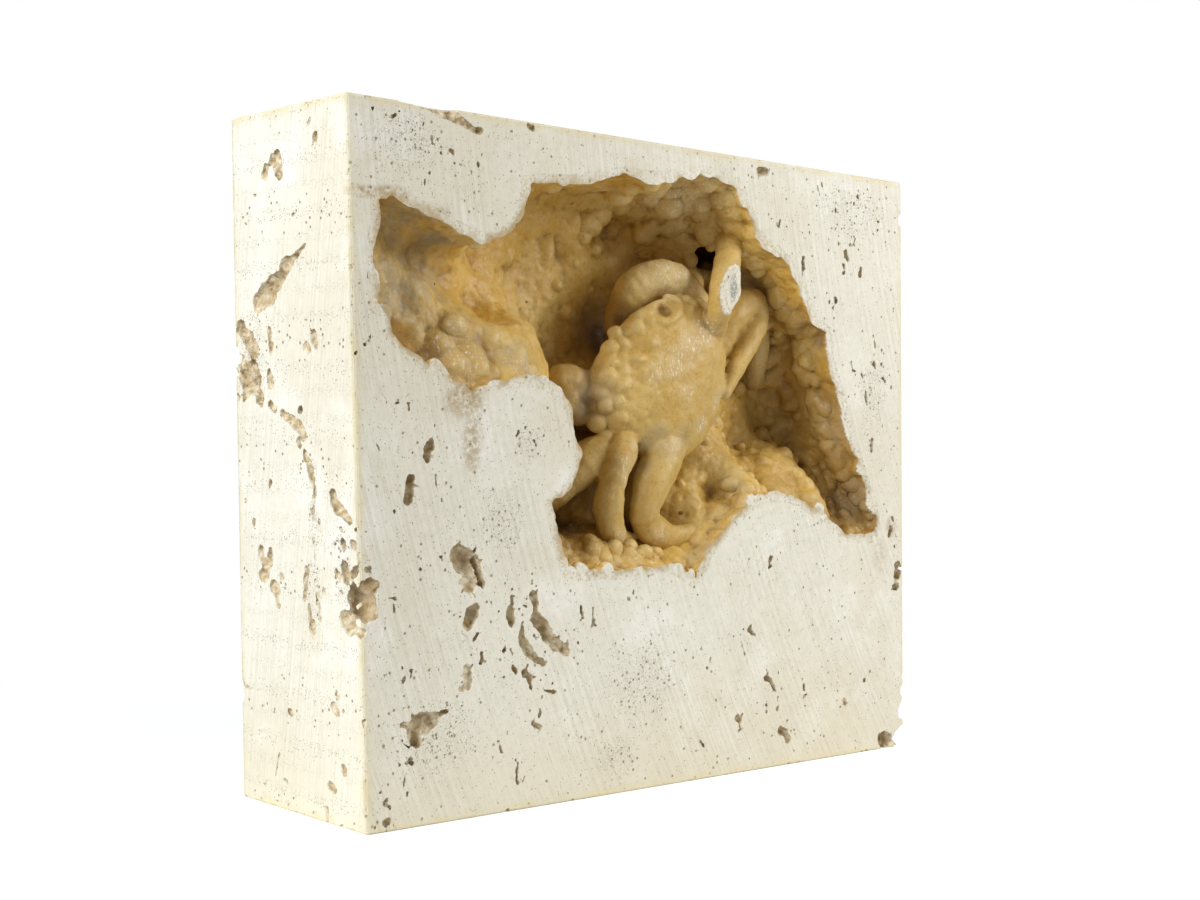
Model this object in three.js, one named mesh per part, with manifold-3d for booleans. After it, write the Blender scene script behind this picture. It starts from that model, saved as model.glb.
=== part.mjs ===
// A fossil crab in the calcite-lined hollow of a sawn travertine block.
// Millimetres: +X runs along the sawn front, +Y goes into the stone, +Z is up.
// The origin lies under the middle of the block.
import * as THREE from 'three';
import { mergeVertices } from 'three/addons/utils/BufferGeometryUtils.js';
import Module from 'manifold-3d';

// The sawn block, a slab cut slightly out of square.
const blockHeight = 160;
const frontY = -25.9;
const backFootY = 25.9;
const backTopY = 22.4;
const leftFootX = -88.1;
const leftTopX = -95.9;
const rightFootX = 95.9;
const rightTopX = 90.4;

// The calcite lining: thin where the saw opened it, thicker inside.
const crustAtRim = 1.1;
const crustInside = 2.6;
const pieceGap = 0.3;
const lumpCount = 36;
const lumpRadii = [2.2, 4];
const lumpStandOut = { ground: 0.45, wall: 0.8 };
const lumpWallShares = [0.3, 0.8];
const crustRoughness = 0.9;

// Where the back wall is smooth, above and around the crab; the rest of the lining is lumpy.
const smoothGround = new THREE.Box2(new THREE.Vector2(-45, 108), new THREE.Vector2(45, 146));

// How finely the hollow is faceted.
const hollowGrid = 6.6;
const rimStep = 6;
const wallRound = 8;
const wallShare = 0.5;
const soundingBlend = 4;
const beyondFront = 6;

// The rim of the hollow in the front plane, as smooth runs from cusp to cusp: [x, z].
const rimRuns = [
  [[-88, 138.3], [-81.7, 139.2], [-66.6, 133.7], [-56.5, 131.7], [-48.5, 136.5], [-45.7, 146.2]],
  [[-45.7, 146.2], [-31.3, 147.7], [-17, 150.9], [-2, 151.5], [12, 154.5], [25, 152.3]],
  [[25, 152.3], [28.8, 146], [33.6, 139.1], [42, 135.3], [49.8, 127.1], [53.7, 119.2]],
  [[53.7, 119.2], [60.2, 116.3], [61.3, 109.3], [66.5, 98], [72.4, 84.3], [82.3, 65.3], [80.3, 60]],
  [[80.3, 60], [68.7, 60.9], [58.2, 66.6], [46.1, 71.7], [34.4, 71.3], [25.1, 66], [16.8, 59], [11.6, 50.3]],
  [[11.6, 50.3], [2.7, 54.5], [-8.3, 54.2], [-21.5, 54], [-32.3, 55]],
  [[-32.3, 55], [-34.6, 61.4], [-37.3, 71.4]],
  [[-37.3, 71.4], [-31.4, 74.9], [-28.4, 81.5], [-29.5, 88.2], [-33.1, 95.8], [-41.8, 100.2],
    [-53.1, 99.2], [-60, 96.3]],
  [[-60, 96.3], [-67.4, 99.9], [-74.3, 102.8], [-83, 108.3], [-83.9, 115], [-89.1, 113.9]],
  [[-89.1, 113.9], [-86.9, 118.3], [-89.3, 125.3], [-87.4, 133], [-88, 138.3]],
];

// How deep the hollow is behind the front plane: [x, z, depth].
const soundings = [
  // the shallow lobe at the left and the mound below it
  [-80, 125, 9], [-72, 119, 12], [-75, 132, 13], [-65, 128, 18], [-54, 125, 21], [-44, 120, 25],
  [-39, 132, 28], [-68, 112, 11], [-59, 110, 9], [-48, 108, 9], [-41, 105, 8], [-59, 101, 4], [-47, 101, 3],
  // the smooth back wall
  [-24, 124, 33], [-13, 135, 33], [-10, 146, 30], [9, 142, 36], [24, 135, 37], [10, 118, 37],
  [-7, 111, 35], [7, 151, 25], [14, 152, 18], [22, 152, 13], [31, 148, 20],
  // right of the crab, down to the ramp and the dome
  [48, 138, 34], [56, 131, 22], [66, 122, 26], [70, 108, 28], [73, 95, 27], [58, 92, 26], [46, 87, 23],
  [72, 84, 22], [44, 77, 16], [55, 77, 10], [47, 72, 2], [36, 72, 2], [74, 72, 12], [60, 67, 3], [79, 63, 5],
  // below the crab, and the cave behind the lobe at its left
  [28, 71, 15], [24, 66, 8], [17, 60, 11], [13, 56, 5], [-4, 56, 5], [-18, 56, 6], [-28, 58, 9],
  [10, 65, 19], [-2, 64, 21], [-20, 70, 31], [-33, 68, 20],
  // the ground behind the crab
  [17, 97, 23], [13, 84, 22], [33, 114, 26], [-3, 97, 27], [-12, 88, 30],
];

// Rounded spaces that reach behind the rim: centre, then half sizes.
const caves = [
  { at: [-27, -6, 72], half: [13, 14, 11] },
  { at: [40, 1, 138], half: [12, 11, 9] },
];

// The carapace: its reach from the centre every 30 degrees, from +X towards +Z.
const carapaceCentre = [10.5, -13.9, 102.5];
const carapaceReach = [22, 24, 24.6, 20.4, 17.6, 18.6, 22.4, 22.8, 21, 21.4, 21.8, 21.3];
const carapaceDome = 7;
const carapaceBelly = 11;
const carapaceTurn = 0.15;
const carapaceFacets = { round: 18, across: 8 };
const carapaceNodes = [
  [-8, 104.5, 3.6], [-10, 98.5, 3.2], [-7.5, 92.5, 3], [-3, 97, 2.4], [-4, 87.5, 2.6], [-4, 110, 2.8],
  [2, 114.5, 2.6], [7.5, 120.5, 2.6], [13.5, 119.5, 2.2], [25, 119, 2.8],
];

// The limbs from joint to joint: [x, y, z, radius]. A folded limb has one chain for each side of its fold.
const ringsPerStretch = 2;
const limbSides = 6;
const limbs = {
  right_claw: [[
    [24.5, -12.5, 123.5, 3.4], [17, -10.9, 128.2, 5], [10.2, -8.9, 128, 5.2], [5.1, -6.9, 124.6, 4.9],
    [2.8, -4.9, 118.4, 3.9], [4, -2, 112, 2.8],
  ]],
  left_claw: [[
    [-1.5, -6.5, 100.5, 3.6], [-7.8, -4.9, 98.4, 4.6], [-10.2, -3.4, 94.3, 3.8], [-7, -3, 91.5, 3.2],
  ]],
  right_leg_1: [[
    [29, -15, 112, 2.6], [21.4, -23, 119.5, 3], [22.2, -24.3, 125.2, 3.8], [24.4, -23, 131, 3.5],
    [32.5, -14.5, 140, 3.3], [39, -6, 144, 3],
  ]],
  right_leg_2: [
    [[30, -13.5, 109, 2.6], [38.9, -13.9, 122, 3.5], [45.8, -12.9, 124.4, 3.5]],
    [[45.8, -13.4, 122.8, 3], [44.6, -14.9, 119, 2.6], [38.3, -16.9, 112.1, 2.5], [30.4, -18.4, 99.8, 1.4]],
  ],
  right_leg_3: [
    [[31, -9.5, 105, 2.2], [51.2, -7.6, 120.3, 2.5]],
    [[51.2, -7.6, 119.5, 2.6], [53.4, -7, 111.6, 2.5], [56, -3, 102.5, 2]],
  ],
  left_leg_1: [[
    [-2, -15, 87, 3.4], [-6.5, -15.9, 82, 3.6], [-9.2, -15.7, 74, 3.8], [-8.9, -14.9, 66.2, 3.6],
    [-5.5, -13.2, 61.4, 3], [-0.5, -12.4, 60.6, 2.1],
  ]],
  left_leg_2: [[
    [1, -11, 86, 3.6], [-6.4, -9.9, 82.4, 4.1], [-10.9, -8.9, 79.9, 4.3], [-20, -4, 68, 1.7],
  ]],
  left_leg_3: [[
    [10, -14.5, 86, 5], [7.9, -16.5, 80.8, 5.3], [3.4, -16.9, 73.7, 4.3], [4, -15.9, 67, 3.9],
    [9.6, -14.6, 61.8, 3.3], [18, -14.8, 60.6, 2.4],
  ]],
  left_leg_4: [[
    [6, -8.5, 86, 3.4], [5.2, -10.5, 76.1, 3.2], [3, -10.4, 68.4, 2.9], [8, -9, 59.4, 2.4],
  ]],
};

// Natural pits and breaks: centre, half sizes, and a turn about Y for slanting ones.
const frontPits = [
  { at: [-63, 59.5], half: [4.2, 4.6], turn: 0.5 },
  { at: [-56.5, 54.5], half: [3.4, 1.5], turn: 0.9 },
  { at: [-60, 46.2], half: [2, 2.6], turn: 0 },
  { at: [-74.5, 22.6], half: [6.2, 3.6], turn: -0.3 },
  { at: [-68, 25.5], half: [3.6, 1.8], turn: -0.5 },
  { at: [-73, 84], half: [1.5, 2.2], turn: 0 },
  { at: [-78, 75], half: [1.5, 4.2], turn: 0.1 },
  { at: [-57.5, 36.5], half: [3, 3.6], turn: 0.6 },
  { at: [-48.5, 47.5], half: [1.6, 3.4], turn: 0 },
  { at: [-40, 42.5], half: [1.9, 5], turn: -0.5 },
  { at: [-36.5, 36.5], half: [2.2, 2.6], turn: 0.6 },
  { at: [-43.8, 31], half: [1.7, 1.8], turn: 0 },
  { at: [31.8, 36.8], half: [1.5, 1.7], turn: 0 },
  { at: [40.6, 22.2], half: [1.2, 2.8], turn: -0.6 },
  { at: [44.8, 9], half: [2, 1.5], turn: 0.3 },
  { at: [78, 20], half: [1.4, 1.4], turn: 0 },
  { at: [-67, 160.5], half: [9, 3], turn: 0.15 },
];
const frontPitDepth = 3;
const sidePits = [
  { at: [4.6, 147.3], half: [3.4, 4.6], turn: 0 },
  { at: [2, 123], half: [11, 1.6], turn: -0.55 },
  { at: [9, 118.5], half: [3.6, 2.6], turn: -0.55 },
  { at: [24, 108], half: [5, 7], turn: 0 },
  { at: [24, 117], half: [2.6, 3], turn: 0 },
  { at: [-3.4, 92.4], half: [1.5, 1.6], turn: 0 },
  { at: [-9.5, 60], half: [4, 13], turn: 0 },
  { at: [12.7, 55], half: [2.4, 7], turn: 0 },
  { at: [-24.5, 51], half: [5.5, 9], turn: 0.1 },
  { at: [-19, 68], half: [2.6, 6], turn: -0.2 },
];
const sidePitDepth = 2.4;

const palette = {
  travertine: new THREE.MeshStandardMaterial({ color: 0xe2dccb, roughness: 0.85, metalness: 0 }),
  calcite: new THREE.MeshStandardMaterial({ color: 0xa8823f, roughness: 0.5, metalness: 0 }),
  shell: new THREE.MeshStandardMaterial({ color: 0xc4a468, roughness: 0.45, metalness: 0 }),
};

const wasm = await Module();
wasm.setup();

// A closed geometry as a solid that can be cut and joined.
function toSolid(geometry) {
  geometry.deleteAttribute('normal');
  geometry.deleteAttribute('uv');
  const merged = mergeVertices(geometry, 1e-4);
  const triangles = [];
  for (let i = 0; i < merged.index.count; i += 3) {
    const corner = [0, 1, 2].map((k) => merged.index.getX(i + k));
    if (new Set(corner).size === 3) triangles.push(...corner);
  }
  const mesh = new wasm.Mesh({
    numProp: 3,
    vertProperties: new Float32Array(merged.attributes.position.array),
    triVerts: new Uint32Array(triangles),
  });
  return new wasm.Manifold(mesh);
}

// The biggest single body of a cut solid, so that no loose crumb stays.
function mainBody(shape) {
  const bodies = shape.decompose();
  return bodies.reduce((best, body) => (body.volume() > best.volume() ? body : best));
}

function toGeometry(shape) {
  const mesh = shape.getMesh();
  const geometry = new THREE.BufferGeometry();
  geometry.setAttribute('position', new THREE.BufferAttribute(new Float32Array(mesh.vertProperties), 3));
  geometry.setIndex(new THREE.BufferAttribute(new Uint32Array(mesh.triVerts), 1));
  geometry.computeVertexNormals();
  return geometry;
}

function join(solids) {
  return solids.reduce((whole, next) => whole.add(next));
}

// The same run of random numbers every time.
function seededRandom(seed) {
  let state = seed;
  return () => {
    state = (state * 1664525 + 1013904223) % 4294967296;
    return state / 4294967296;
  };
}

// A rounded lump or pit: 0 is coarse, 1 is finer.
function ellipsoid(fineness, [x, y, z], [halfX, halfY, halfZ], turn = new THREE.Euler()) {
  const geometry = new THREE.IcosahedronGeometry(1, fineness);
  geometry.scale(halfX, halfY, halfZ);
  geometry.applyQuaternion(new THREE.Quaternion().setFromEuler(turn));
  geometry.translate(x, y, z);
  return toSolid(geometry);
}

// Points along the rim, a step apart, with every cusp kept.
const rimPoints = rimRuns.flatMap((run) => {
  const curve = new THREE.SplineCurve(run.map(([x, z]) => new THREE.Vector2(x, z)));
  return curve.getSpacedPoints(Math.ceil(curve.getLength() / rimStep)).slice(0, -1);
});

// The rim moved outwards, into the stone.
function grownRim(distance) {
  return rimPoints.map((point, i) => {
    const before = rimPoints.at(i - 1);
    const after = rimPoints[(i + 1) % rimPoints.length];
    const along = after.clone().sub(before).normalize();
    return new THREE.Vector2(point.x - along.y * distance, point.y + along.x * distance);
  });
}

// How far a point lies inside the rim; 0 outside it.
function insetFromRim(x, z) {
  const point = new THREE.Vector3(x, z, 0);
  const nearest = new THREE.Vector3();
  let inside = false;
  let closest = Infinity;
  rimPoints.forEach((a, i) => {
    const b = rimPoints[(i + 1) % rimPoints.length];
    const edge = new THREE.Line3(new THREE.Vector3(a.x, a.y, 0), new THREE.Vector3(b.x, b.y, 0));
    edge.closestPointToPoint(point, true, nearest);
    closest = Math.min(closest, nearest.distanceTo(point));
    if ((a.y > z) !== (b.y > z) && x < a.x + ((z - a.y) / (b.y - a.y)) * (b.x - a.x)) inside = !inside;
  });
  return inside ? closest : 0;
}

// The depth of the hollow at a place: the soundings blended, rounded up towards the wall.
function depthAt(x, z) {
  let sum = 0;
  let weights = 0;
  for (const [soundX, soundZ, depth] of soundings) {
    const weight = 1 / ((x - soundX) ** 2 + (z - soundZ) ** 2 + soundingBlend ** 2) ** 2;
    sum += weight * depth;
    weights += weight;
  }
  const run = Math.min(insetFromRim(x, z) / wallRound, 1);
  return (sum / weights) * (wallShare + (1 - wallShare) * Math.sqrt(1 - (1 - run) ** 2));
}

// A number from 0 to 1 that jumps about from place to place but is always the same at one place.
function scatter(x, z) {
  const wide = Math.sin(x * 12.9898 + z * 78.233) * 43758.5453;
  return wide - Math.floor(wide);
}

function isSmoothGround(x, z) {
  return smoothGround.containsPoint(new THREE.Vector2(x, z));
}

const rimBox = new THREE.Box2().setFromPoints(rimPoints).expandByScalar(hollowGrid);
const rimSize = rimBox.getSize(new THREE.Vector2());
const rimMiddle = rimBox.getCenter(new THREE.Vector2());

// The hollow, grown sideways and deepened for the layers behind it, and roughened for the lining's face.
function hollowForm(sideways, deeper, roughness) {
  const length = 2 * -frontY;
  const wall = new THREE.ExtrudeGeometry(new THREE.Shape(grownRim(sideways)), {
    depth: length,
    bevelEnabled: false,
  });
  wall.rotateX(Math.PI / 2);
  wall.translate(0, frontY - beyondFront + length, 0);

  const columns = Math.round(rimSize.x / hollowGrid);
  const rows = Math.round(rimSize.y / hollowGrid);
  const ground = new THREE.BoxGeometry(rimSize.x, 1, rimSize.y, columns, 1, rows);
  ground.translate(rimMiddle.x, 0, rimMiddle.y);
  const position = ground.attributes.position;
  for (let i = 0; i < position.count; i += 1) {
    const [x, z] = [position.getX(i), position.getZ(i)];
    const uneven = isSmoothGround(x, z) ? 0 : roughness * (2 * scatter(x, z) - 1);
    const depth = depthAt(x, z) + deeper + uneven;
    position.setY(i, frontY + (position.getY(i) > 0 ? depth : -beyondFront));
  }
  const bowl = toSolid(wall).intersect(toSolid(ground));
  const spaces = caves.map(({ at, half }) => ellipsoid(1, at, half.map((size) => size + deeper)));
  return join([bowl, ...spaces]);
}

// A limb through its joints: a turned shape with round ends, bent along the path from joint to joint.
function limbStretch(joints, extra) {
  const path = new THREE.CatmullRomCurve3(joints.map((joint) => new THREE.Vector3(...joint.slice(0, 3))));
  const last = joints.length - 1;
  const radiusAt = (u) => {
    const before = Math.min(Math.floor(u), last - 1);
    return THREE.MathUtils.lerp(joints[before][3], joints[before + 1][3], u - before) + extra;
  };
  const rings = [];
  for (let u = 0; u <= last; u += 1 / ringsPerStretch) rings.push({ u, share: 1, beyond: 0 });
  rings.unshift({ u: 0, share: 0, beyond: -1 }, { u: 0, share: Math.SQRT1_2, beyond: -Math.SQRT1_2 });
  rings.push({ u: last, share: Math.SQRT1_2, beyond: Math.SQRT1_2 }, { u: last, share: 0, beyond: 1 });

  const profile = rings.map(({ u, share }, i) => new THREE.Vector2(share * radiusAt(u), i));
  const geometry = new THREE.LatheGeometry(profile, limbSides);
  const position = geometry.attributes.position;
  const point = new THREE.Vector3();
  for (let i = 0; i < position.count; i += 1) {
    const { u, beyond } = rings[Math.round(position.getY(i))];
    const along = path.getTangent(u / last);
    point.set(position.getX(i), beyond * radiusAt(u), position.getZ(i));
    point.applyQuaternion(new THREE.Quaternion().setFromUnitVectors(new THREE.Vector3(0, 1, 0), along));
    point.add(path.getPoint(u / last));
    position.setXYZ(i, point.x, point.y, point.z);
  }
  return toSolid(geometry);
}

function limbForm(chains, extra) {
  return join(chains.map((joints) => limbStretch(joints, extra)));
}

// The carapace's reach from its centre in a direction, smooth through the given ones.
function carapaceReachAt(angle) {
  const count = carapaceReach.length;
  const place = ((angle / (2 * Math.PI)) * count + count) % count;
  const first = Math.floor(place);
  const along = place - first;
  const [a, b, c, d] = [-1, 0, 1, 2].map((step) => carapaceReach[(first + step + count) % count]);
  const curve = new THREE.SplineCurve([a, b, c, d].map((reach, i) => new THREE.Vector2(i, reach)));
  return curve.getPoint((1 + along) / 3).y;
}

function carapaceForm(extra) {
  const geometry = new THREE.SphereGeometry(1, carapaceFacets.round, carapaceFacets.across);
  geometry.rotateX(Math.PI / 2);
  const position = geometry.attributes.position;
  const [centreX, centreY, centreZ] = carapaceCentre;
  for (let i = 0; i < position.count; i += 1) {
    const [x, y, z] = [position.getX(i), position.getY(i), position.getZ(i)];
    const reach = carapaceReachAt(Math.atan2(z, x)) + extra;
    const thick = (y < 0 ? carapaceDome : carapaceBelly) + extra;
    const flatX = x * reach;
    position.setXYZ(i, centreX + flatX, centreY + y * thick - flatX * carapaceTurn, centreZ + z * reach);
  }
  const lumps = carapaceNodes.map(([x, z, radius]) => {
    const y = centreY - (x - centreX) * carapaceTurn - carapaceDome * 0.25;
    return ellipsoid(0, [x, y, z], Array(3).fill(radius + extra));
  });
  return join([toSolid(geometry), ...lumps]);
}

const crabForms = { carapace: carapaceForm };
for (const [name, chains] of Object.entries(limbs)) {
  crabForms[name] = (extra) => limbForm(chains, extra);
}

// Everything that the saw took away in front of the stone.
const sawnDepth = 40;
const sawnBox = new THREE.BoxGeometry(2 * rimSize.x, sawnDepth, 2 * blockHeight);
const sawnAway = toSolid(sawnBox.translate(rimMiddle.x, frontY - sawnDepth / 2, rimMiddle.y));

const hollow = hollowForm(0, 0, crustRoughness);
const crustOutside = hollowForm(crustAtRim, crustInside, 0);

// The crab's pieces, each cut to stand clear of the ones before it.
const crabPieces = {};
let crabSpace = null;
for (const [name, form] of Object.entries(crabForms)) {
  let piece = form(0).subtract(sawnAway);
  if (crabSpace) piece = piece.subtract(crabSpace);
  crabPieces[name] = mainBody(piece);
  crabSpace = crabSpace ? crabSpace.add(form(pieceGap)) : form(pieceGap);
}

// The lumps of the crust, on its ground and up its walls, standing out of it by a share of their size.
function crustLumps() {
  const random = seededRandom(11);
  const [smallest, largest] = lumpRadii;
  const inwards = grownRim(-1);
  const lumps = [];
  while (lumps.length < lumpCount) {
    const onWall = lumps.length % 3 === 0;
    const radius = smallest + (largest - smallest) * random() ** 2;
    const out = radius * (onWall ? lumpStandOut.wall : lumpStandOut.ground);
    const rimIndex = Math.floor(random() * rimPoints.length);
    const wallPoint = rimPoints[rimIndex].clone().lerp(inwards[rimIndex], out);
    const x = onWall ? wallPoint.x : rimBox.min.x + random() * rimSize.x;
    const z = onWall ? wallPoint.y : rimBox.min.y + random() * rimSize.y;
    const share = onWall ? THREE.MathUtils.lerp(...lumpWallShares, random()) : 1;
    const depth = depthAt(x, z) * share - (onWall ? 0 : out);
    const turn = new THREE.Euler(random() * 6, random() * 6, random() * 6);
    if (onWall ? depth > radius + 1 : insetFromRim(x, z) > radius && !isSmoothGround(x, z)) {
      lumps.push(ellipsoid(0, [x, frontY + depth, z], Array(3).fill(radius), turn));
    }
  }
  return join(lumps);
}

const crust = crustOutside
  .subtract(hollow)
  .add(crustLumps().intersect(crustOutside))
  .subtract(sawnAway)
  .subtract(crabSpace);

function blockForm() {
  const geometry = new THREE.BoxGeometry(1, 1, 1);
  const position = geometry.attributes.position;
  for (let i = 0; i < position.count; i += 1) {
    const top = position.getZ(i) > 0;
    const left = top ? leftTopX : leftFootX;
    const right = top ? rightTopX : rightFootX;
    const back = top ? backTopY : backFootY;
    const x = position.getX(i) < 0 ? left : right;
    const y = position.getY(i) < 0 ? frontY : back;
    position.setXYZ(i, x, y, top ? blockHeight : 0);
  }
  return toSolid(geometry);
}

function leftFaceX(z) {
  return leftFootX + (leftTopX - leftFootX) * (z / blockHeight);
}

function pitForms() {
  const onFront = frontPits.map(({ at: [x, z], half: [halfX, halfZ], turn }) =>
    ellipsoid(0, [x, frontY, z], [halfX, frontPitDepth, halfZ], new THREE.Euler(0, turn, 0)));
  const onSide = sidePits.map(({ at: [y, z], half: [halfY, halfZ], turn }) =>
    ellipsoid(0, [leftFaceX(z), y, z], [sidePitDepth, halfY, halfZ], new THREE.Euler(turn, 0, 0)));
  return join([...onFront, ...onSide]);
}

const stone = blockForm()
  .subtract(hollowForm(crustAtRim + pieceGap, crustInside + pieceGap, 0))
  .subtract(pitForms())
  .subtract(crabSpace);

const crabBlock = new THREE.Group();

function addPiece(name, shape, material) {
  const mesh = new THREE.Mesh(toGeometry(shape), material);
  mesh.name = name;
  crabBlock.add(mesh);
}

addPiece('travertine_block', mainBody(stone), palette.travertine);
addPiece('calcite_crust', mainBody(crust), palette.calcite);
for (const [name, piece] of Object.entries(crabPieces)) {
  addPiece(name, piece, palette.shell);
}

export default crabBlock;
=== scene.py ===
import math
import random

import bmesh
import bpy
import numpy as np
from mathutils import Matrix, Vector, noise
from mathutils.kdtree import KDTree


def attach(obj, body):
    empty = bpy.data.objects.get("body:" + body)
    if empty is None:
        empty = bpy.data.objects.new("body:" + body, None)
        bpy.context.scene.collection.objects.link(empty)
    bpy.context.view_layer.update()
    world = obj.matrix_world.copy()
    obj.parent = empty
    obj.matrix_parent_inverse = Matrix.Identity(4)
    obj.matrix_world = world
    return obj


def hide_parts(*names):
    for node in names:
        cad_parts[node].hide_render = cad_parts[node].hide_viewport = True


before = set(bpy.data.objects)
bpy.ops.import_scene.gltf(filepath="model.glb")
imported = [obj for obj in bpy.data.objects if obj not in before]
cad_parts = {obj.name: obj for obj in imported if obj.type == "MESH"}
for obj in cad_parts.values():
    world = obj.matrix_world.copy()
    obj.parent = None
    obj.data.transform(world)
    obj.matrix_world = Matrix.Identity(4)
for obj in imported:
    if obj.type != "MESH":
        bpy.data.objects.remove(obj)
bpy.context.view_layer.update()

mm = 0.001                       # the dictionaries below are in millimetres
scene = bpy.context.scene


def newPiece(name, bm):
    mesh = bpy.data.meshes.new(name)
    bm.to_mesh(mesh)
    bm.free()
    piece = bpy.data.objects.new(name, mesh)
    scene.collection.objects.link(piece)
    return piece


def removePiece(piece):
    mesh = piece.data
    bpy.data.objects.remove(piece)
    bpy.data.meshes.remove(mesh)


def applyModifiers(piece):
    graph = bpy.context.evaluated_depsgraph_get()
    finished = bpy.data.meshes.new_from_object(piece.evaluated_get(graph))
    before = piece.data
    piece.modifiers.clear()
    piece.data = finished
    bpy.data.meshes.remove(before)


def copyPiece(piece, name):
    copy = bpy.data.objects.new(name, piece.data.copy())
    scene.collection.objects.link(copy)
    return copy


def joinPieces(pieces):          # one mesh, still in separate shells
    bm = bmesh.new()
    for piece in pieces:
        bm.from_mesh(piece.data)
    name = pieces[0].name
    for piece in pieces:
        removePiece(piece)
    return newPiece(name, bm)


def remesh(piece, voxel, smoothing=0):
    modifier = piece.modifiers.new("remesh", "REMESH")
    modifier.mode = "VOXEL"
    modifier.voxel_size = voxel * mm
    if smoothing:
        smooth = piece.modifiers.new("smooth", "SMOOTH")
        smooth.factor = 0.5
        smooth.iterations = smoothing
    applyModifiers(piece)


def cut(piece, cutter, operation="DIFFERENCE"):
    modifier = piece.modifiers.new("cut", "BOOLEAN")
    modifier.operation = operation
    modifier.solver = "MANIFOLD"
    modifier.object = cutter
    applyModifiers(piece)


def thin(piece, most):           # fewer triangles where the surface is flattest
    piece.data.calc_loop_triangles()
    count = len(piece.data.loop_triangles)
    if count > most:
        modifier = piece.modifiers.new("thin", "DECIMATE")
        modifier.ratio = most / count
        applyModifiers(piece)


def smoothShade(piece, angle):   # the broad sawn faces stay flat
    mesh = piece.data
    mesh.shade_smooth()
    mesh.set_sharp_from_angle(angle=math.radians(angle))
    for face in mesh.polygons:
        if face.area > 0.5 * mm * mm:
            face.use_smooth = False


def weldDistance(piece):
    bm = bmesh.new()
    bm.from_mesh(piece.data)
    bmesh.ops.remove_doubles(bm, verts=bm.verts, dist=0.00001)
    bm.to_mesh(piece.data)
    bm.free()


def scoreFaces(bm, step, axes):  # even cuts, so that no flat face is too broad to cut into cleanly
    for axis in axes:
        normal = Vector(float(axis == k) for k in range(3))
        low = min(v.co[axis] for v in bm.verts)
        high = max(v.co[axis] for v in bm.verts)
        count = math.ceil((high - low) / step)
        for i in range(1, count):
            place = normal * (low + (high - low) * i / count)
            whole = bm.verts[:] + bm.edges[:] + bm.faces[:]
            bmesh.ops.bisect_plane(bm, geom=whole, plane_co=place, plane_no=normal)


def edgeEnds(mesh):
    ends = np.empty(len(mesh.edges) * 2, dtype=np.int64)
    mesh.edges.foreach_get("vertices", ends)
    return ends.reshape(-1, 2)


def places(mesh):
    flat = np.empty(len(mesh.vertices) * 3)
    mesh.vertices.foreach_get("co", flat)
    return flat.reshape(-1, 3)


def spread(values, ends, count, rounds):      # each value drawn towards the mean of its neighbours
    share = np.zeros(count)
    np.add.at(share, ends[:, 0], 1)
    np.add.at(share, ends[:, 1], 1)
    share = np.maximum(share, 1).reshape([-1] + [1] * (values.ndim - 1))
    for _ in range(rounds):
        total = np.zeros_like(values)
        np.add.at(total, ends[:, 0], values[ends[:, 1]])
        np.add.at(total, ends[:, 1], values[ends[:, 0]])
        values = values * 0.4 + total / share * 0.6
    return values


def addAttribute(mesh, name, values):
    layer = mesh.attributes.new(name, "FLOAT", "POINT")
    layer.data.foreach_set("value", np.asarray(values, dtype=np.float32))


def markCreases(piece, rounds, depth):        # 0 on a crest, 0.5 where flat, 1 deep in a crease
    mesh = piece.data
    ends = edgeEnds(mesh)
    co = places(mesh)
    normals = np.empty(len(mesh.vertices) * 3)
    mesh.vertices.foreach_get("normal", normals)
    offset = ((spread(co, ends, len(co), rounds) - co) * normals.reshape(-1, 3)).sum(axis=1)
    addAttribute(mesh, "crease", np.clip(0.5 + offset / (depth * mm) * 0.5, 0, 1))


def markSpots(piece, name, spots):            # soft round spots: centre, radius and strength
    co = places(piece.data) / mm
    value = np.zeros(len(co))
    for centre, radius, strength in spots:
        apart = np.linalg.norm((co - np.array(centre)) / radius, axis=1)
        value = np.maximum(value, strength * np.clip(1.4 - apart * 1.4, 0, 1))
    addAttribute(piece.data, name, value)


def markRim(piece, width):       # 0 at the hollow's rim and 1 outside it
    co = places(piece.data) / mm
    addAttribute(piece.data, "rim", [min(rimTree.find((x, z, 0))[2] / width, 1) for x, _, z in co])


def addBall(bm, centre, radii, turn=None, fineness=2):
    shape = Matrix.Translation(Vector(centre) * mm)
    if turn is not None:
        shape = shape @ turn.to_matrix().to_4x4()
    shape = shape @ Matrix.Diagonal((*(r * mm for r in radii), 1))
    bmesh.ops.create_icosphere(bm, subdivisions=fineness, radius=1, matrix=shape)


def newBalls(name, balls):       # many balls in one mesh, made in small batches to be quick
    batches = []
    for i in range(0, len(balls), 40):
        bm = bmesh.new()
        for ball in balls[i:i + 40]:
            addBall(bm, *ball)
        batches.append(newPiece(name, bm))
    return joinPieces(batches)


def splinePoint(points, u):      # on the smooth path through the points, u from 0 to 1
    last = len(points) - 1
    place = u * last
    i = min(int(place), last - 1)
    t = place - i
    a, b, c, d = (points[min(max(i + k, 0), last)] for k in (-1, 0, 1, 2))
    return [
        q + 0.5 * t * ((r - p) + t * ((2 * p - 5 * q + 4 * r - s) + t * (3 * (q - r) + s - p)))
        for p, q, r, s in zip(a, b, c, d)
    ]


def smoothstep(low, high, value):
    t = min(max((value - low) / (high - low), 0), 1)
    return t * t * (3 - 2 * t)


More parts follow.
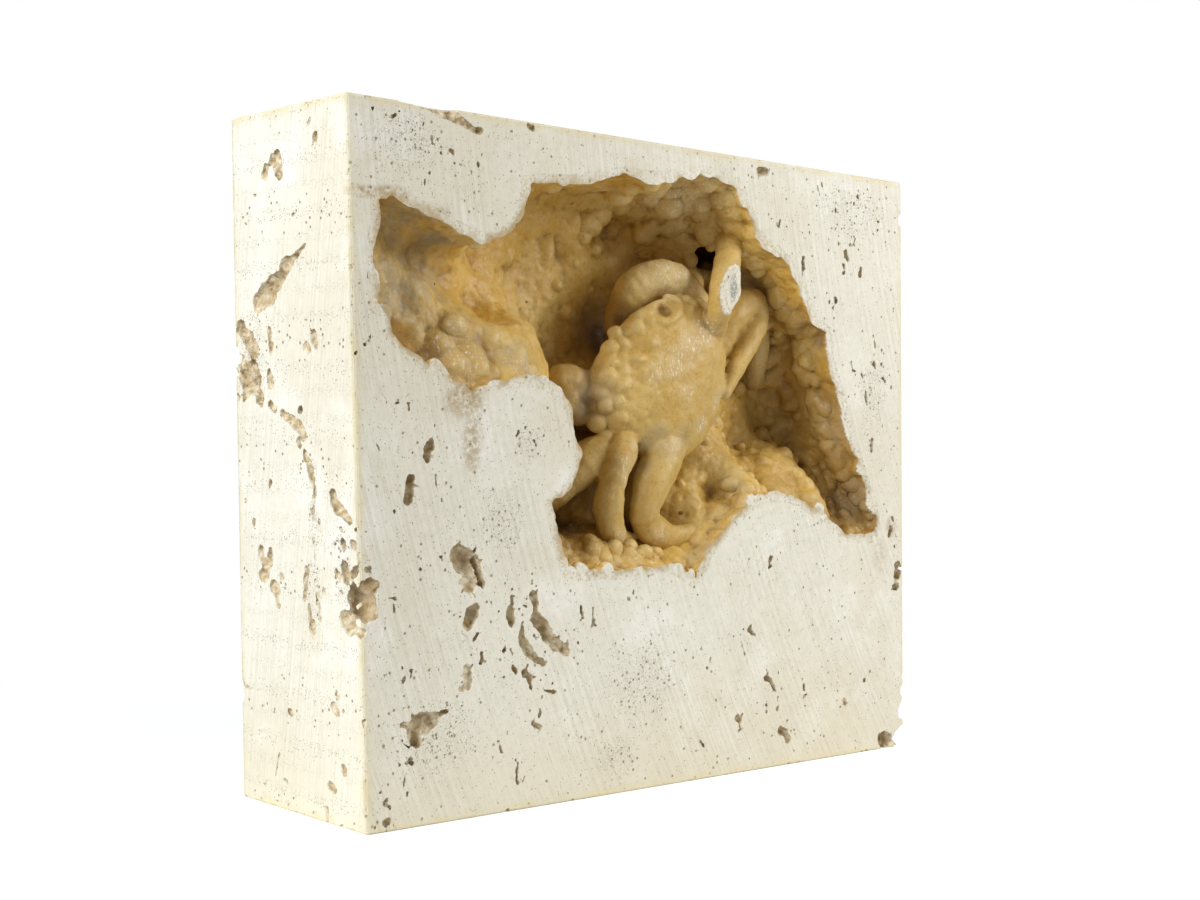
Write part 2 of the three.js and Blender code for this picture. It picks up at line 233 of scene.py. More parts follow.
view = {
    "place": (-306.4, -344.8, 88.8),
    "turn": -41.72,              # degrees round the block, from its front
    "rise": 0.65,
    "roll": 0.88,
    "lens": 53.19,
}
studio = {
    "backdrop": 1.0,
    "ambient": 0.25,
    "floor": (0.8, 0.81, 0.81), "floorNear": 90, "floorFar": 240,
    "floorGlow": 0.5,            # the near floor's own glow, which only the camera sees
    "farGlow": 0.36,             # how strongly the bright far floor lights the block
    "keyPlace": (-960, -150, 500), "keySize": 420, "keyPower": 11.2, "keyTone": (0.95, 0.975, 1),
    "fillPlace": (300, -330, 300), "fillSize": 300, "fillPower": 1.8, "fillTone": (1, 0.99, 0.97),
}


def viewAxes():                  # to the right, up and back in the camera's view
    turn, rise, roll = (math.radians(view[name]) for name in ("turn", "rise", "roll"))
    back = Vector((math.sin(turn) * math.cos(rise), -math.cos(turn) * math.cos(rise), math.sin(rise)))
    level = Vector((0, 0, 1)).cross(back).normalized()
    upright = back.cross(level)
    right = level * math.cos(roll) + upright * math.sin(roll)
    up = upright * math.cos(roll) - level * math.sin(roll)
    return right, up, back


def setCamera():
    right, up, back = viewAxes()
    data = bpy.data.cameras.new("camera")
    data.sensor_width = 36
    data.lens = view["lens"]
    data.clip_start = 0.01
    camera = bpy.data.objects.new("camera", data)
    axes = Matrix((right, up, back)).transposed().to_4x4()
    camera.matrix_world = Matrix.Translation(Vector(view["place"]) * mm) @ axes
    scene.collection.objects.link(camera)
    scene.camera = camera


def addSoftbox(name, place, size, power, tint):
    data = bpy.data.lights.new(name, "AREA")
    data.size = size * mm
    data.energy = power
    data.color = tint
    lamp = bpy.data.objects.new(name, data)
    place = Vector(place) * mm
    aim = Vector((0, 0, 0.09)) - place
    lamp.matrix_world = Matrix.Translation(place) @ aim.to_track_quat("-Z", "Y").to_matrix().to_4x4()
    scene.collection.objects.link(lamp)


def setLight():
    world = bpy.data.worlds.new("studio")
    scene.world = world
    world.use_nodes = True
    tree = world.node_tree
    tree.nodes.clear()
    path = tree.nodes.new("ShaderNodeLightPath")
    seen = tree.nodes.new("ShaderNodeBackground")
    seen.inputs["Strength"].default_value = studio["backdrop"]
    seen.inputs["Color"].default_value = (1, 1, 1, 1)
    lit = tree.nodes.new("ShaderNodeBackground")
    lit.inputs["Strength"].default_value = studio["ambient"]
    lit.inputs["Color"].default_value = (0.97, 0.985, 1, 1)
    mix = tree.nodes.new("ShaderNodeMixShader")
    end = tree.nodes.new("ShaderNodeOutputWorld")
    tree.links.new(path.outputs["Is Camera Ray"], mix.inputs[0])
    tree.links.new(lit.outputs[0], mix.inputs[1])
    tree.links.new(seen.outputs[0], mix.inputs[2])
    tree.links.new(mix.outputs[0], end.inputs[0])
    addSoftbox("keySoftbox", studio["keyPlace"], studio["keySize"], studio["keyPower"], studio["keyTone"])
    addSoftbox(
        "fillSoftbox", studio["fillPlace"], studio["fillSize"], studio["fillPower"], studio["fillTone"],
    )
    scene.view_settings.view_transform = "Standard"


def addFloor():                  # pale near the block and as bright as the backdrop further out
    bm = bmesh.new()
    bmesh.ops.create_circle(bm, cap_ends=True, segments=96, radius=6)
    floor = newPiece("floor", bm)
    material = bpy.data.materials.new("studioFloor")
    material.use_nodes = True
    tree = material.node_tree
    shader = tree.nodes["Principled BSDF"]
    shader.inputs["Base Color"].default_value = (*studio["floor"], 1)
    shader.inputs["Roughness"].default_value = 0.6
    shader.inputs["Emission Color"].default_value = (1, 1, 1, 1)
    seen = tree.nodes.new("ShaderNodeLightPath").outputs["Is Camera Ray"]
    nearGlow = tree.nodes.new("ShaderNodeMath")
    nearGlow.operation = "MULTIPLY"
    nearGlow.inputs[1].default_value = studio["floorGlow"]
    tree.links.new(seen, nearGlow.inputs[0])
    tree.links.new(nearGlow.outputs[0], shader.inputs["Emission Strength"])
    place = tree.nodes.new("ShaderNodeTexCoord").outputs["Object"]
    away = tree.nodes.new("ShaderNodeVectorMath")
    away.operation = "LENGTH"
    tree.links.new(place, away.inputs[0])
    reach = tree.nodes.new("ShaderNodeMapRange")
    reach.interpolation_type = "SMOOTHSTEP"
    reach.inputs["From Min"].default_value = studio["floorNear"] * mm
    reach.inputs["From Max"].default_value = studio["floorFar"] * mm
    tree.links.new(away.outputs["Value"], reach.inputs["Value"])
    glow = tree.nodes.new("ShaderNodeEmission")
    level = tree.nodes.new("ShaderNodeMapRange")
    level.inputs["To Min"].default_value = studio["farGlow"]
    level.inputs["To Max"].default_value = studio["backdrop"]
    tree.links.new(seen, level.inputs["Value"])
    tree.links.new(level.outputs["Result"], glow.inputs["Strength"])
    mix = tree.nodes.new("ShaderNodeMixShader")
    tree.links.new(reach.outputs["Result"], mix.inputs[0])
    tree.links.new(shader.outputs[0], mix.inputs[1])
    tree.links.new(glow.outputs[0], mix.inputs[2])
    tree.links.new(mix.outputs[0], tree.nodes["Material Output"].inputs["Surface"])
    floor.data.materials.append(material)


print("camera and light")
setCamera()
setLight()
addFloor()


block = {
    "height": 160,
    "frontY": -25.9, "backFootY": 25.9, "backTopY": 22.4,
    "leftFootX": -88.1, "leftTopX": -95.9,
    "rightFootX": 95.9, "rightTopX": 90.4,
    "edgeWear": 0.55,
}
hollow = {
    "rim": [                     # smooth runs from cusp to cusp, as x and z in the front face
        [(-88, 138.3), (-81.7, 139.2), (-66.6, 133.7), (-56.5, 131.7), (-48.5, 136.5), (-45.7, 146.2)],
        [(-45.7, 146.2), (-31.3, 147.7), (-17, 150.9), (-2, 151.5), (12, 154.5), (25, 152.3)],
        [(25, 152.3), (28.8, 146), (33.6, 139.1), (42, 135.3), (49.8, 127.1), (53.7, 119.2)],
        [(53.7, 119.2), (60.2, 116.3), (61.3, 109.3), (66.5, 98), (72.4, 84.3), (82.3, 65.3), (80.3, 60)],
        [(80.3, 60), (68.7, 60.9), (58.2, 66.6), (46.1, 71.7), (34.4, 71.3), (25.1, 66), (16.8, 59),
         (11.6, 50.3)],
        [(11.6, 50.3), (2.7, 54.5), (-8.3, 54.2), (-21.5, 54), (-32.3, 55)],
        [(-32.3, 55), (-34.6, 61.4), (-37.3, 71.4)],
        [(-37.3, 71.4), (-31.4, 74.9), (-28.4, 81.5), (-29.5, 88.2), (-33.1, 95.8), (-41.8, 100.2),
         (-53.1, 99.2), (-60, 96.3)],
        [(-60, 96.3), (-67.4, 99.9), (-74.3, 102.8), (-83, 108.3), (-83.9, 115), (-89.1, 113.9)],
        [(-89.1, 113.9), (-86.9, 118.3), (-89.3, 125.3), (-87.4, 133), (-88, 138.3)],
    ],
    "soundings": [               # x, z and the depth behind the front face
        (-80, 125, 9), (-72, 119, 12), (-75, 132, 13), (-65, 128, 18), (-54, 125, 21), (-44, 120, 25),
        (-39, 132, 28), (-68, 112, 11), (-59, 110, 9), (-48, 108, 9), (-41, 105, 8), (-59, 101, 4),
        (-47, 101, 3), (-24, 124, 33), (-13, 135, 33), (-10, 146, 30), (9, 142, 36), (22, 134, 35),
        (10, 118, 37), (-7, 111, 35), (7, 151, 25), (14, 152, 18), (22, 152, 13),
        (31, 148, 20), (27, 141, 24),
        (48, 138, 34), (56, 131, 22), (66, 122, 26), (70, 108, 28), (73, 95, 27), (58, 92, 26),
        (46, 87, 23), (72, 84, 22), (44, 77, 16), (55, 77, 10), (47, 72, 2), (36, 72, 2), (74, 72, 12),
        (60, 67, 3), (79, 63, 5), (28, 71, 15), (24, 66, 8), (17, 60, 11), (13, 56, 5), (-4, 56, 5),
        (-18, 56, 6), (-28, 58, 9), (10, 65, 19), (-2, 64, 21), (-20, 70, 31), (-33, 68, 20),
        (17, 97, 23), (13, 84, 22), (33, 114, 26), (-3, 97, 27), (-12, 88, 30),
    ],
    "caves": [((-27, -6, 72), (13, 14, 11)), ((39.5, 0, 140.5), (9.5, 11, 8.5))],
    "blend": 4,
    "wallRound": 8,
    "wallShare": 0.5,
    "rimStep": 0.8, "ragged": 0.9,
    "groundStep": 1.6,
}


def rimPoints(step):
    points = []
    for run in hollow["rim"]:
        length = sum(math.dist(a, b) for a, b in zip(run, run[1:]))
        count = math.ceil(length / step)
        points += [splinePoint(run, i / count) for i in range(count)]
    return points


rim = rimPoints(hollow["rimStep"])
rimTree = KDTree(len(rim) * 2)
for i, (x, z) in enumerate(rim):
    nextX, nextZ = rim[(i + 1) % len(rim)]
    rimTree.insert((x, z, 0), 2 * i)
    rimTree.insert(((x + nextX) / 2, (z + nextZ) / 2, 0), 2 * i + 1)
rimTree.balance()


def isInsideRim(x, z):
    inside = False
    for (ax, az), (bx, bz) in zip(rim, rim[1:] + rim[:1]):
        if (az > z) != (bz > z) and x < ax + (z - az) / (bz - az) * (bx - ax):
            inside = not inside
    return inside


def rimInset(x, z):              # how far inside the rim, 0 outside it
    return rimTree.find((x, z, 0))[2] if isInsideRim(x, z) else 0


def depthAt(x, z):
    total = weights = 0
    for soundX, soundZ, depth in hollow["soundings"]:
        weight = 1 / ((x - soundX) ** 2 + (z - soundZ) ** 2 + hollow["blend"] ** 2) ** 2
        total += weight * depth
        weights += weight
    run = min(rimInset(x, z) / hollow["wallRound"], 1)
    share = hollow["wallShare"]
    return total / weights * (share + (1 - share) * math.sqrt(1 - (1 - run) ** 2))


def hollowPiece(name, sideways, deeper, step, front):      # the hollow as a solid, grown by the given amounts
    bm = bmesh.new()
    outline = []
    every = max(round(step / hollow["rimStep"]), 1)
    points = rim[::every]
    for i, (x, z) in enumerate(points):
        alongX, alongZ = (b - a for a, b in zip(points[i - 1], points[(i + 1) % len(points)]))
        length = math.hypot(alongX, alongZ)
        out = sideways
        if not sideways:         # the open rim is broken, not smooth
            broken = noise.noise((x * 0.28, 7, z * 0.28)) + 0.5 * noise.noise((x * 0.8, 3, z * 0.8))
            out = hollow["ragged"] * broken
        outline.append(bm.verts.new((x - alongZ / length * out, front, z + alongX / length * out)))
    bm.faces.new(outline)
    raised = bmesh.ops.extrude_face_region(bm, geom=bm.faces[:])["geom"]
    bmesh.ops.translate(bm, vec=(0, 60, 0), verts=[v for v in raised if isinstance(v, bmesh.types.BMVert)])
    bmesh.ops.recalc_face_normals(bm, faces=bm.faces)
    scoreFaces(bm, 8, (0, 2))
    bmesh.ops.scale(bm, vec=(mm, mm, mm), verts=bm.verts)
    wall = newPiece(name, bm)

    low = [min(p[k] for p in rim) - sideways - step for k in (0, 1)]
    high = [max(p[k] for p in rim) + sideways + step for k in (0, 1)]
    bm = bmesh.new()
    columns, rows = (math.ceil((high[k] - low[k]) / step) for k in (0, 1))
    bmesh.ops.create_grid(bm, x_segments=columns, y_segments=rows, size=0.5)
    for v in bm.verts:
        x = low[0] + (v.co.x + 0.5) * (high[0] - low[0])
        z = low[1] + (v.co.y + 0.5) * (high[1] - low[1])
        v.co = (x, block["frontY"] + depthAt(x, z) + deeper, z)
    raised = bmesh.ops.extrude_face_region(bm, geom=bm.faces[:])["geom"]
    for v in raised:
        if isinstance(v, bmesh.types.BMVert):
            v.co.y = front - 1
    bmesh.ops.recalc_face_normals(bm, faces=bm.faces)
    bmesh.ops.scale(bm, vec=(mm, mm, mm), verts=bm.verts)
    ground = newPiece("ground", bm)
    cut(wall, ground, "INTERSECT")
    removePiece(ground)

    for centre, half in hollow["caves"]:
        bm = bmesh.new()
        addBall(bm, centre, [h + deeper for h in half], fineness=3)
        cave = newPiece("cave", bm)
        cut(wall, cave, "UNION")
        removePiece(cave)
    return wall


print("hollow")
crust = {
    "atRim": 1.7, "inside": 2.9,
    "sawnBack": 0.02,            # how far its sawn edge lies behind the stone's face
    "voxel": 0.5,
    "smoothing": 7,
    "wideCell": 7.5, "smallCell": 2.8,
    "lumpiness": [               # x, z, reach along x and z, then how high the wide and the small lumps stand
        (-15, 128, 30, 18, 0.8, 0.08), (-70, 124, 16, 11, 0.5, 0.1), (-62, 106, 16, 8, 1.3, 0.15),
        (-40, 104, 8, 8, 1.1, 0.2), (12, 148, 22, 8, 1.8, 0.3), (46, 132, 12, 12, 1.2, 0.6),
        (70, 100, 14, 34, 1.2, 0.8), (60, 74, 16, 9, 0.7, 0.3), (30, 70, 12, 7, 0.9, 0.3),
        (-10, 57, 22, 6, 0.6, 0.7), (25, 100, 20, 15, 0.9, 0.4),
    ],
    "sown": [                    # x, z, reach along x and z, how many lumps, smallest and largest radius
        (12, 149, 20, 8, 34, 1.8, 4.2), (70, 105, 12, 30, 130, 1, 2.8), (-64, 105, 16, 8, 4, 1.4, 2.4),
        (-10, 57, 22, 7, 180, 0.7, 1.9), (30, 70, 14, 8, 16, 1, 2.2), (44, 132, 14, 14, 60, 1.1, 2.8),
        (-20, 130, 30, 18, 20, 1.2, 3), (74, 72, 8, 10, 50, 0.7, 1.8), (38, 95, 14, 16, 26, 1, 2.4),
        (-70, 124, 17, 12, 8, 0.8, 1.6), (-20, 128, 26, 16, 16, 0.8, 1.5), (57, 122, 7, 16, 60, 1, 2.8),
        (54, 78, 16, 12, 10, 1, 2.2),
    ],
    "lumps": [                   # single lumps: x, z and half sizes
        (12, 150.5, (3, 3, 2.8)), (16.3, 152, (3, 3, 2.6)), (20.5, 153, (3.2, 3, 2.6)),
        (18.4, 143.6, (3, 3.4, 3)), (22.4, 144.4, (3, 3.2, 3)), (27.7, 140.7, (2.6, 2.6, 2.6)),
        (15.8, 141.8, (2.5, 2.8, 2.5)), (24, 150, (2.4, 4, 2.2)), (27, 147.2, (2.2, 4, 2.2)),
        (28.6, 143.8, (2.2, 4, 2.2)), (27.1, 66.8, (4.4, 2.8, 2.2)),
        (25.4, 76, (3.6, 2.2, 1.8)), (32.5, 75, (3.4, 2.4, 1.6)), (39, 76.5, (3.2, 2, 1.6)),
        (19.2, 61, (2.6, 2.4, 1.9)), (21, 71, (3, 2.4, 2)), (33, 70.2, (3, 2.2, 1.7)),
    ],
    "swells": [                  # soft swellings: x, z, half sizes across and how far they rise
        (-12.5, 134.5, 3.2, 5.2, 1.8), (-65, 107.4, 5, 4.6, 2), (-70.7, 109, 4.4, 4, 1.7),
        (-58.8, 110.7, 5.4, 4.6, 1.6), (-56.3, 106, 5, 4.4, 1.8), (-54.8, 102, 4.6, 4.4, 1.4),
        (-62.8, 103.1, 4.4, 3.6, 1.5), (-76.4, 115.1, 3.6, 4.4, 1.2), (-73.5, 112.3, 3.8, 3.4, 1.2),
        (-67.5, 120.7, 7, 6.6, 1.8), (-47, 109, 5, 5, 1.4), (-42, 105, 4, 4, 1.2), (-38.5, 102.5, 3, 3, 1),
        (-33, 113, 6, 6, 1.4), (-22, 110, 7, 6, 1.4), (-28, 121, 8, 8, 1.2), (-6, 139, 6, 6, 1.2),
        (-18, 142, 7, 5, 1), (-38, 130, 6, 8, 1),
    ],
    "pinholes": [                # x, z and radius of small open holes
        (17.1, 67.4, 0.55), (-65.2, 122.6, 0.45), (-58.3, 122.5, 0.35), (-19.1, 121.2, 0.35),
        (-8.4, 147, 0.4), (-9.2, 150, 0.3),
    ],
}


def pillow(point, cell):         # 1 on top of a rounded lump, sinking softly where two lumps meet
    bent = point / cell + noise.noise_vector(point / cell * 0.8) * 0.3
    near = noise.voronoi(bent)[0]
    reach = -math.log(sum(math.exp(-9 * d) for d in near)) / 9
    return max(0, 1 - (max(reach, 0) / 0.75) ** 2)


def groundPoint(x, z, sunk=0):
    return Vector((x, block["frontY"] + depthAt(x, z) + sunk, z))


def lumpHeights(x, z):
    wide, small, weights = 0.12, 0.05, 0.25
    for patchX, patchZ, reachX, reachZ, patchWide, patchSmall in crust["lumpiness"]:
        weight = math.exp(-((x - patchX) / reachX) ** 2 - ((z - patchZ) / reachZ) ** 2)
        wide += weight * patchWide
        small += weight * patchSmall
        weights += weight
    return wide / weights, small / weights


def sowLumps(ground):            # balls half sunk in the hollow's face
    rng = random.Random(7)
    mesh = ground.data
    faces = [(p.center / mm, p.normal.copy(), p.area) for p in mesh.polygons]
    balls = []
    for patchX, patchZ, reachX, reachZ, count, smallest, largest in crust["sown"]:
        near = [
            f for f in faces
            if abs(f[0].x - patchX) < reachX and abs(f[0].z - patchZ) < reachZ
            and f[0].y > block["frontY"] + 0.5
        ]
        if not near:
            continue
        for centre, normal, _ in rng.choices(near, weights=[f[2] for f in near], k=count):
            radius = smallest + (largest - smallest) * rng.random() ** 2
            stray = Vector((rng.uniform(-1, 1), rng.uniform(-1, 1), rng.uniform(-1, 1)))
            radii = [radius * rng.uniform(0.85, 1.2) for _ in range(3)]
            if not any(math.hypot(centre.x - x, centre.z - z) < radius + 1 for x, z, _ in crust["pinholes"]):
                balls.append((centre + stray + normal * radius * 0.25, radii))
    for x, z, half in crust["lumps"]:
        balls.append((groundPoint(x, z, half[1] * 0.7), half))
    return newBalls("lumps", balls)


def formCrust():
    front = block["frontY"]
    space = hollowPiece("space", 0, 0, hollow["groundStep"], front - 6)
    lumps = sowLumps(space)
    piece = hollowPiece("calcite_crust_skin", 5, 5.5, 4.8, front - 2)
    cut(piece, space)
    removePiece(space)
    piece = joinPieces([piece, lumps])
    remesh(piece, crust["voxel"], crust["smoothing"])

    mesh = piece.data
    co = places(mesh) / mm
    swollen = np.zeros(len(co))
    for x, z, halfX, halfZ, rise in crust["swells"]:
        apart = ((co[:, 0] - x) / halfX) ** 2 + ((co[:, 2] - z) / halfZ) ** 2
        swollen = np.maximum(swollen, rise * np.clip(1 - apart, 0, 1) ** 1.5)
    moved = []
    for v, swell in zip(mesh.vertices, swollen):
        p = v.co / mm
        wide, small = lumpHeights(p.x, p.z)
        tall = Vector((p.x, p.y, p.z * 0.7))
        rise = wide * pillow(tall, crust["wideCell"]) + small * pillow(p, crust["smallCell"])
        rise += 0.9 * noise.noise(p * 0.09) + 0.35 * noise.noise(p * 0.35) + 0.22 * noise.noise(p * 0.8)
        rise += 0.14 * noise.noise(p * 1.7) + swell
        moved.append(v.co + v.normal * rise * mm)
    mesh.vertices.foreach_set("co", [c for co in moved for c in co])
    holes = newBalls("holes", [(groundPoint(x, z), (r, 6, r)) for x, z, r in crust["pinholes"]])
    cut(piece, holes)
    removePiece(holes)

    outside = hollowPiece("outside", crust["atRim"], crust["inside"], 4.8, front + crust["sawnBack"])
    cut(piece, outside, "INTERSECT")
    removePiece(outside)
    thin(piece, 190000)
    return piece


crustPiece = formCrust()
weldDistance(crustPiece)
# the crease measure, used to paint shade into the creases and light onto the crests
markCreases(crustPiece, 24, 0.8)
# painted shade: these spots darken the caves, the hole by the right leg and the gaps, and deepen the amber of
# the right wall
markSpots(crustPiece, "richAndShade", [   # over 1 it turns to the darkest brown
    ((76, -14, 98), 36, 0.9), ((80, -18, 72), 20, 1.5), ((60, -5, 130), 22, 0.9), ((-22, -8, 70), 20, 2),
    ((46, 4, 141), 11, 3.4), ((9, 8, 112), 14, 1.7), ((-6, 2, 94), 15, 1.9),
    ((-4, -8, 68), 14, 1.3), ((48, -2, 108), 16, 1), ((30, -14, 84), 15, 0.4),
    ((52, -4, 92), 14, 0.7), ((-36, 0, 104), 9, 0.4), ((54, -9, 135), 6, 1.4), ((-66, -14, 130), 8, 0.5),
    ((54, -18, 122), 10, 1), ((50, -14, 132), 8, 0.8), ((72, -16, 78), 12, 1.3), ((60, -22, 116), 8, 0.7),
    ((66, -22, 100), 8, 0.7), ((74, -22, 84), 8, 0.8), ((38, -4, 118), 14, 0.6),
    ((-56, -20, 103), 16, 0.4), ((-74, -19, 118), 12, 0.35), ((50, -22, 74), 18, 0.5),
    ((28, -20, 72), 12, 0.4),
    ((-8, -22, 57), 14, 0.25), ((-38, -12, 104), 10, 0.5),
])
# whitish bloom on the crust, with painted glints where its white streaks show
markSpots(crustPiece, "bloomAndGlint", [
    ((-79, -22.9, 136), 2.4, 1), ((-53, -20, 101), 4, 0.8), ((-57, -23, 96), 3, 0.7),
    ((-0.4, -22.9, 56.7), 2.2, 1), ((-7.3, -24.9, 53.1), 2, 1), ((-60, -12, 124), 8, 0.2),
    ((-84, -22, 124), 7, 0.5), ((-36, -14, 112), 7, 0.3), ((-62, -20, 106), 15, 0.6), ((36, -20, 84), 9, 0.3),
    ((14, -16, 150), 17, 0.8), ((-76, -19, 122), 14, 0.4), ((-8, -24, 56), 16, 0.3), ((50, -24, 71), 16, 0.4),
    ((70, -24, 88), 12, 0.25), ((20, -24, 62), 9, 0.4), ((-44, -20, 102), 9, 0.6),
])
# painted light: paler patches, mostly brightening the ceiling and the back wall
markSpots(crustPiece, "pale", [
    ((20, -10, 147), 16, 0.8), ((-4, -6, 149), 14, 0.5), ((-80, -19, 135), 9, 0.8), ((-24, 4, 122), 20, 0.4),
])
markRim(crustPiece, crust["atRim"])
# dull grey-brown patches, strongest by the upper-left rim
markSpots(crustPiece, "dullGrey", [
    ((-76, -20, 136), 10, 0.9), ((-64, -16, 132), 10, 1), ((-85, -23, 130), 9, 0.4), ((52, -10, 132), 11, 1),
    ((-74, -16, 122), 18, 0.8), ((-55, -16, 112), 14, 0.35), ((30, -20, 76), 7, 0.5), ((60, -24, 66), 9, 0.5),
    ((70, -23, 92), 14, 0.4), ((60, -22, 118), 10, 0.4), ((-64, -19, 104), 12, 0.35), ((28, -22, 66), 9, 0.4),
    ((56, -24, 134), 10, 0.7), ((66, -24, 116), 10, 0.7), ((74, -24, 100), 10, 0.7), ((48, -24, 146), 8, 0.5),
    ((16, -24, 57), 8, 0.6), ((-44, -19, 104), 10, 0.6), ((-60, -10, 124), 10, 0.8), ((78, -23, 70), 9, 0.5),
])
print("crust", len(crustPiece.data.polygons), "faces")


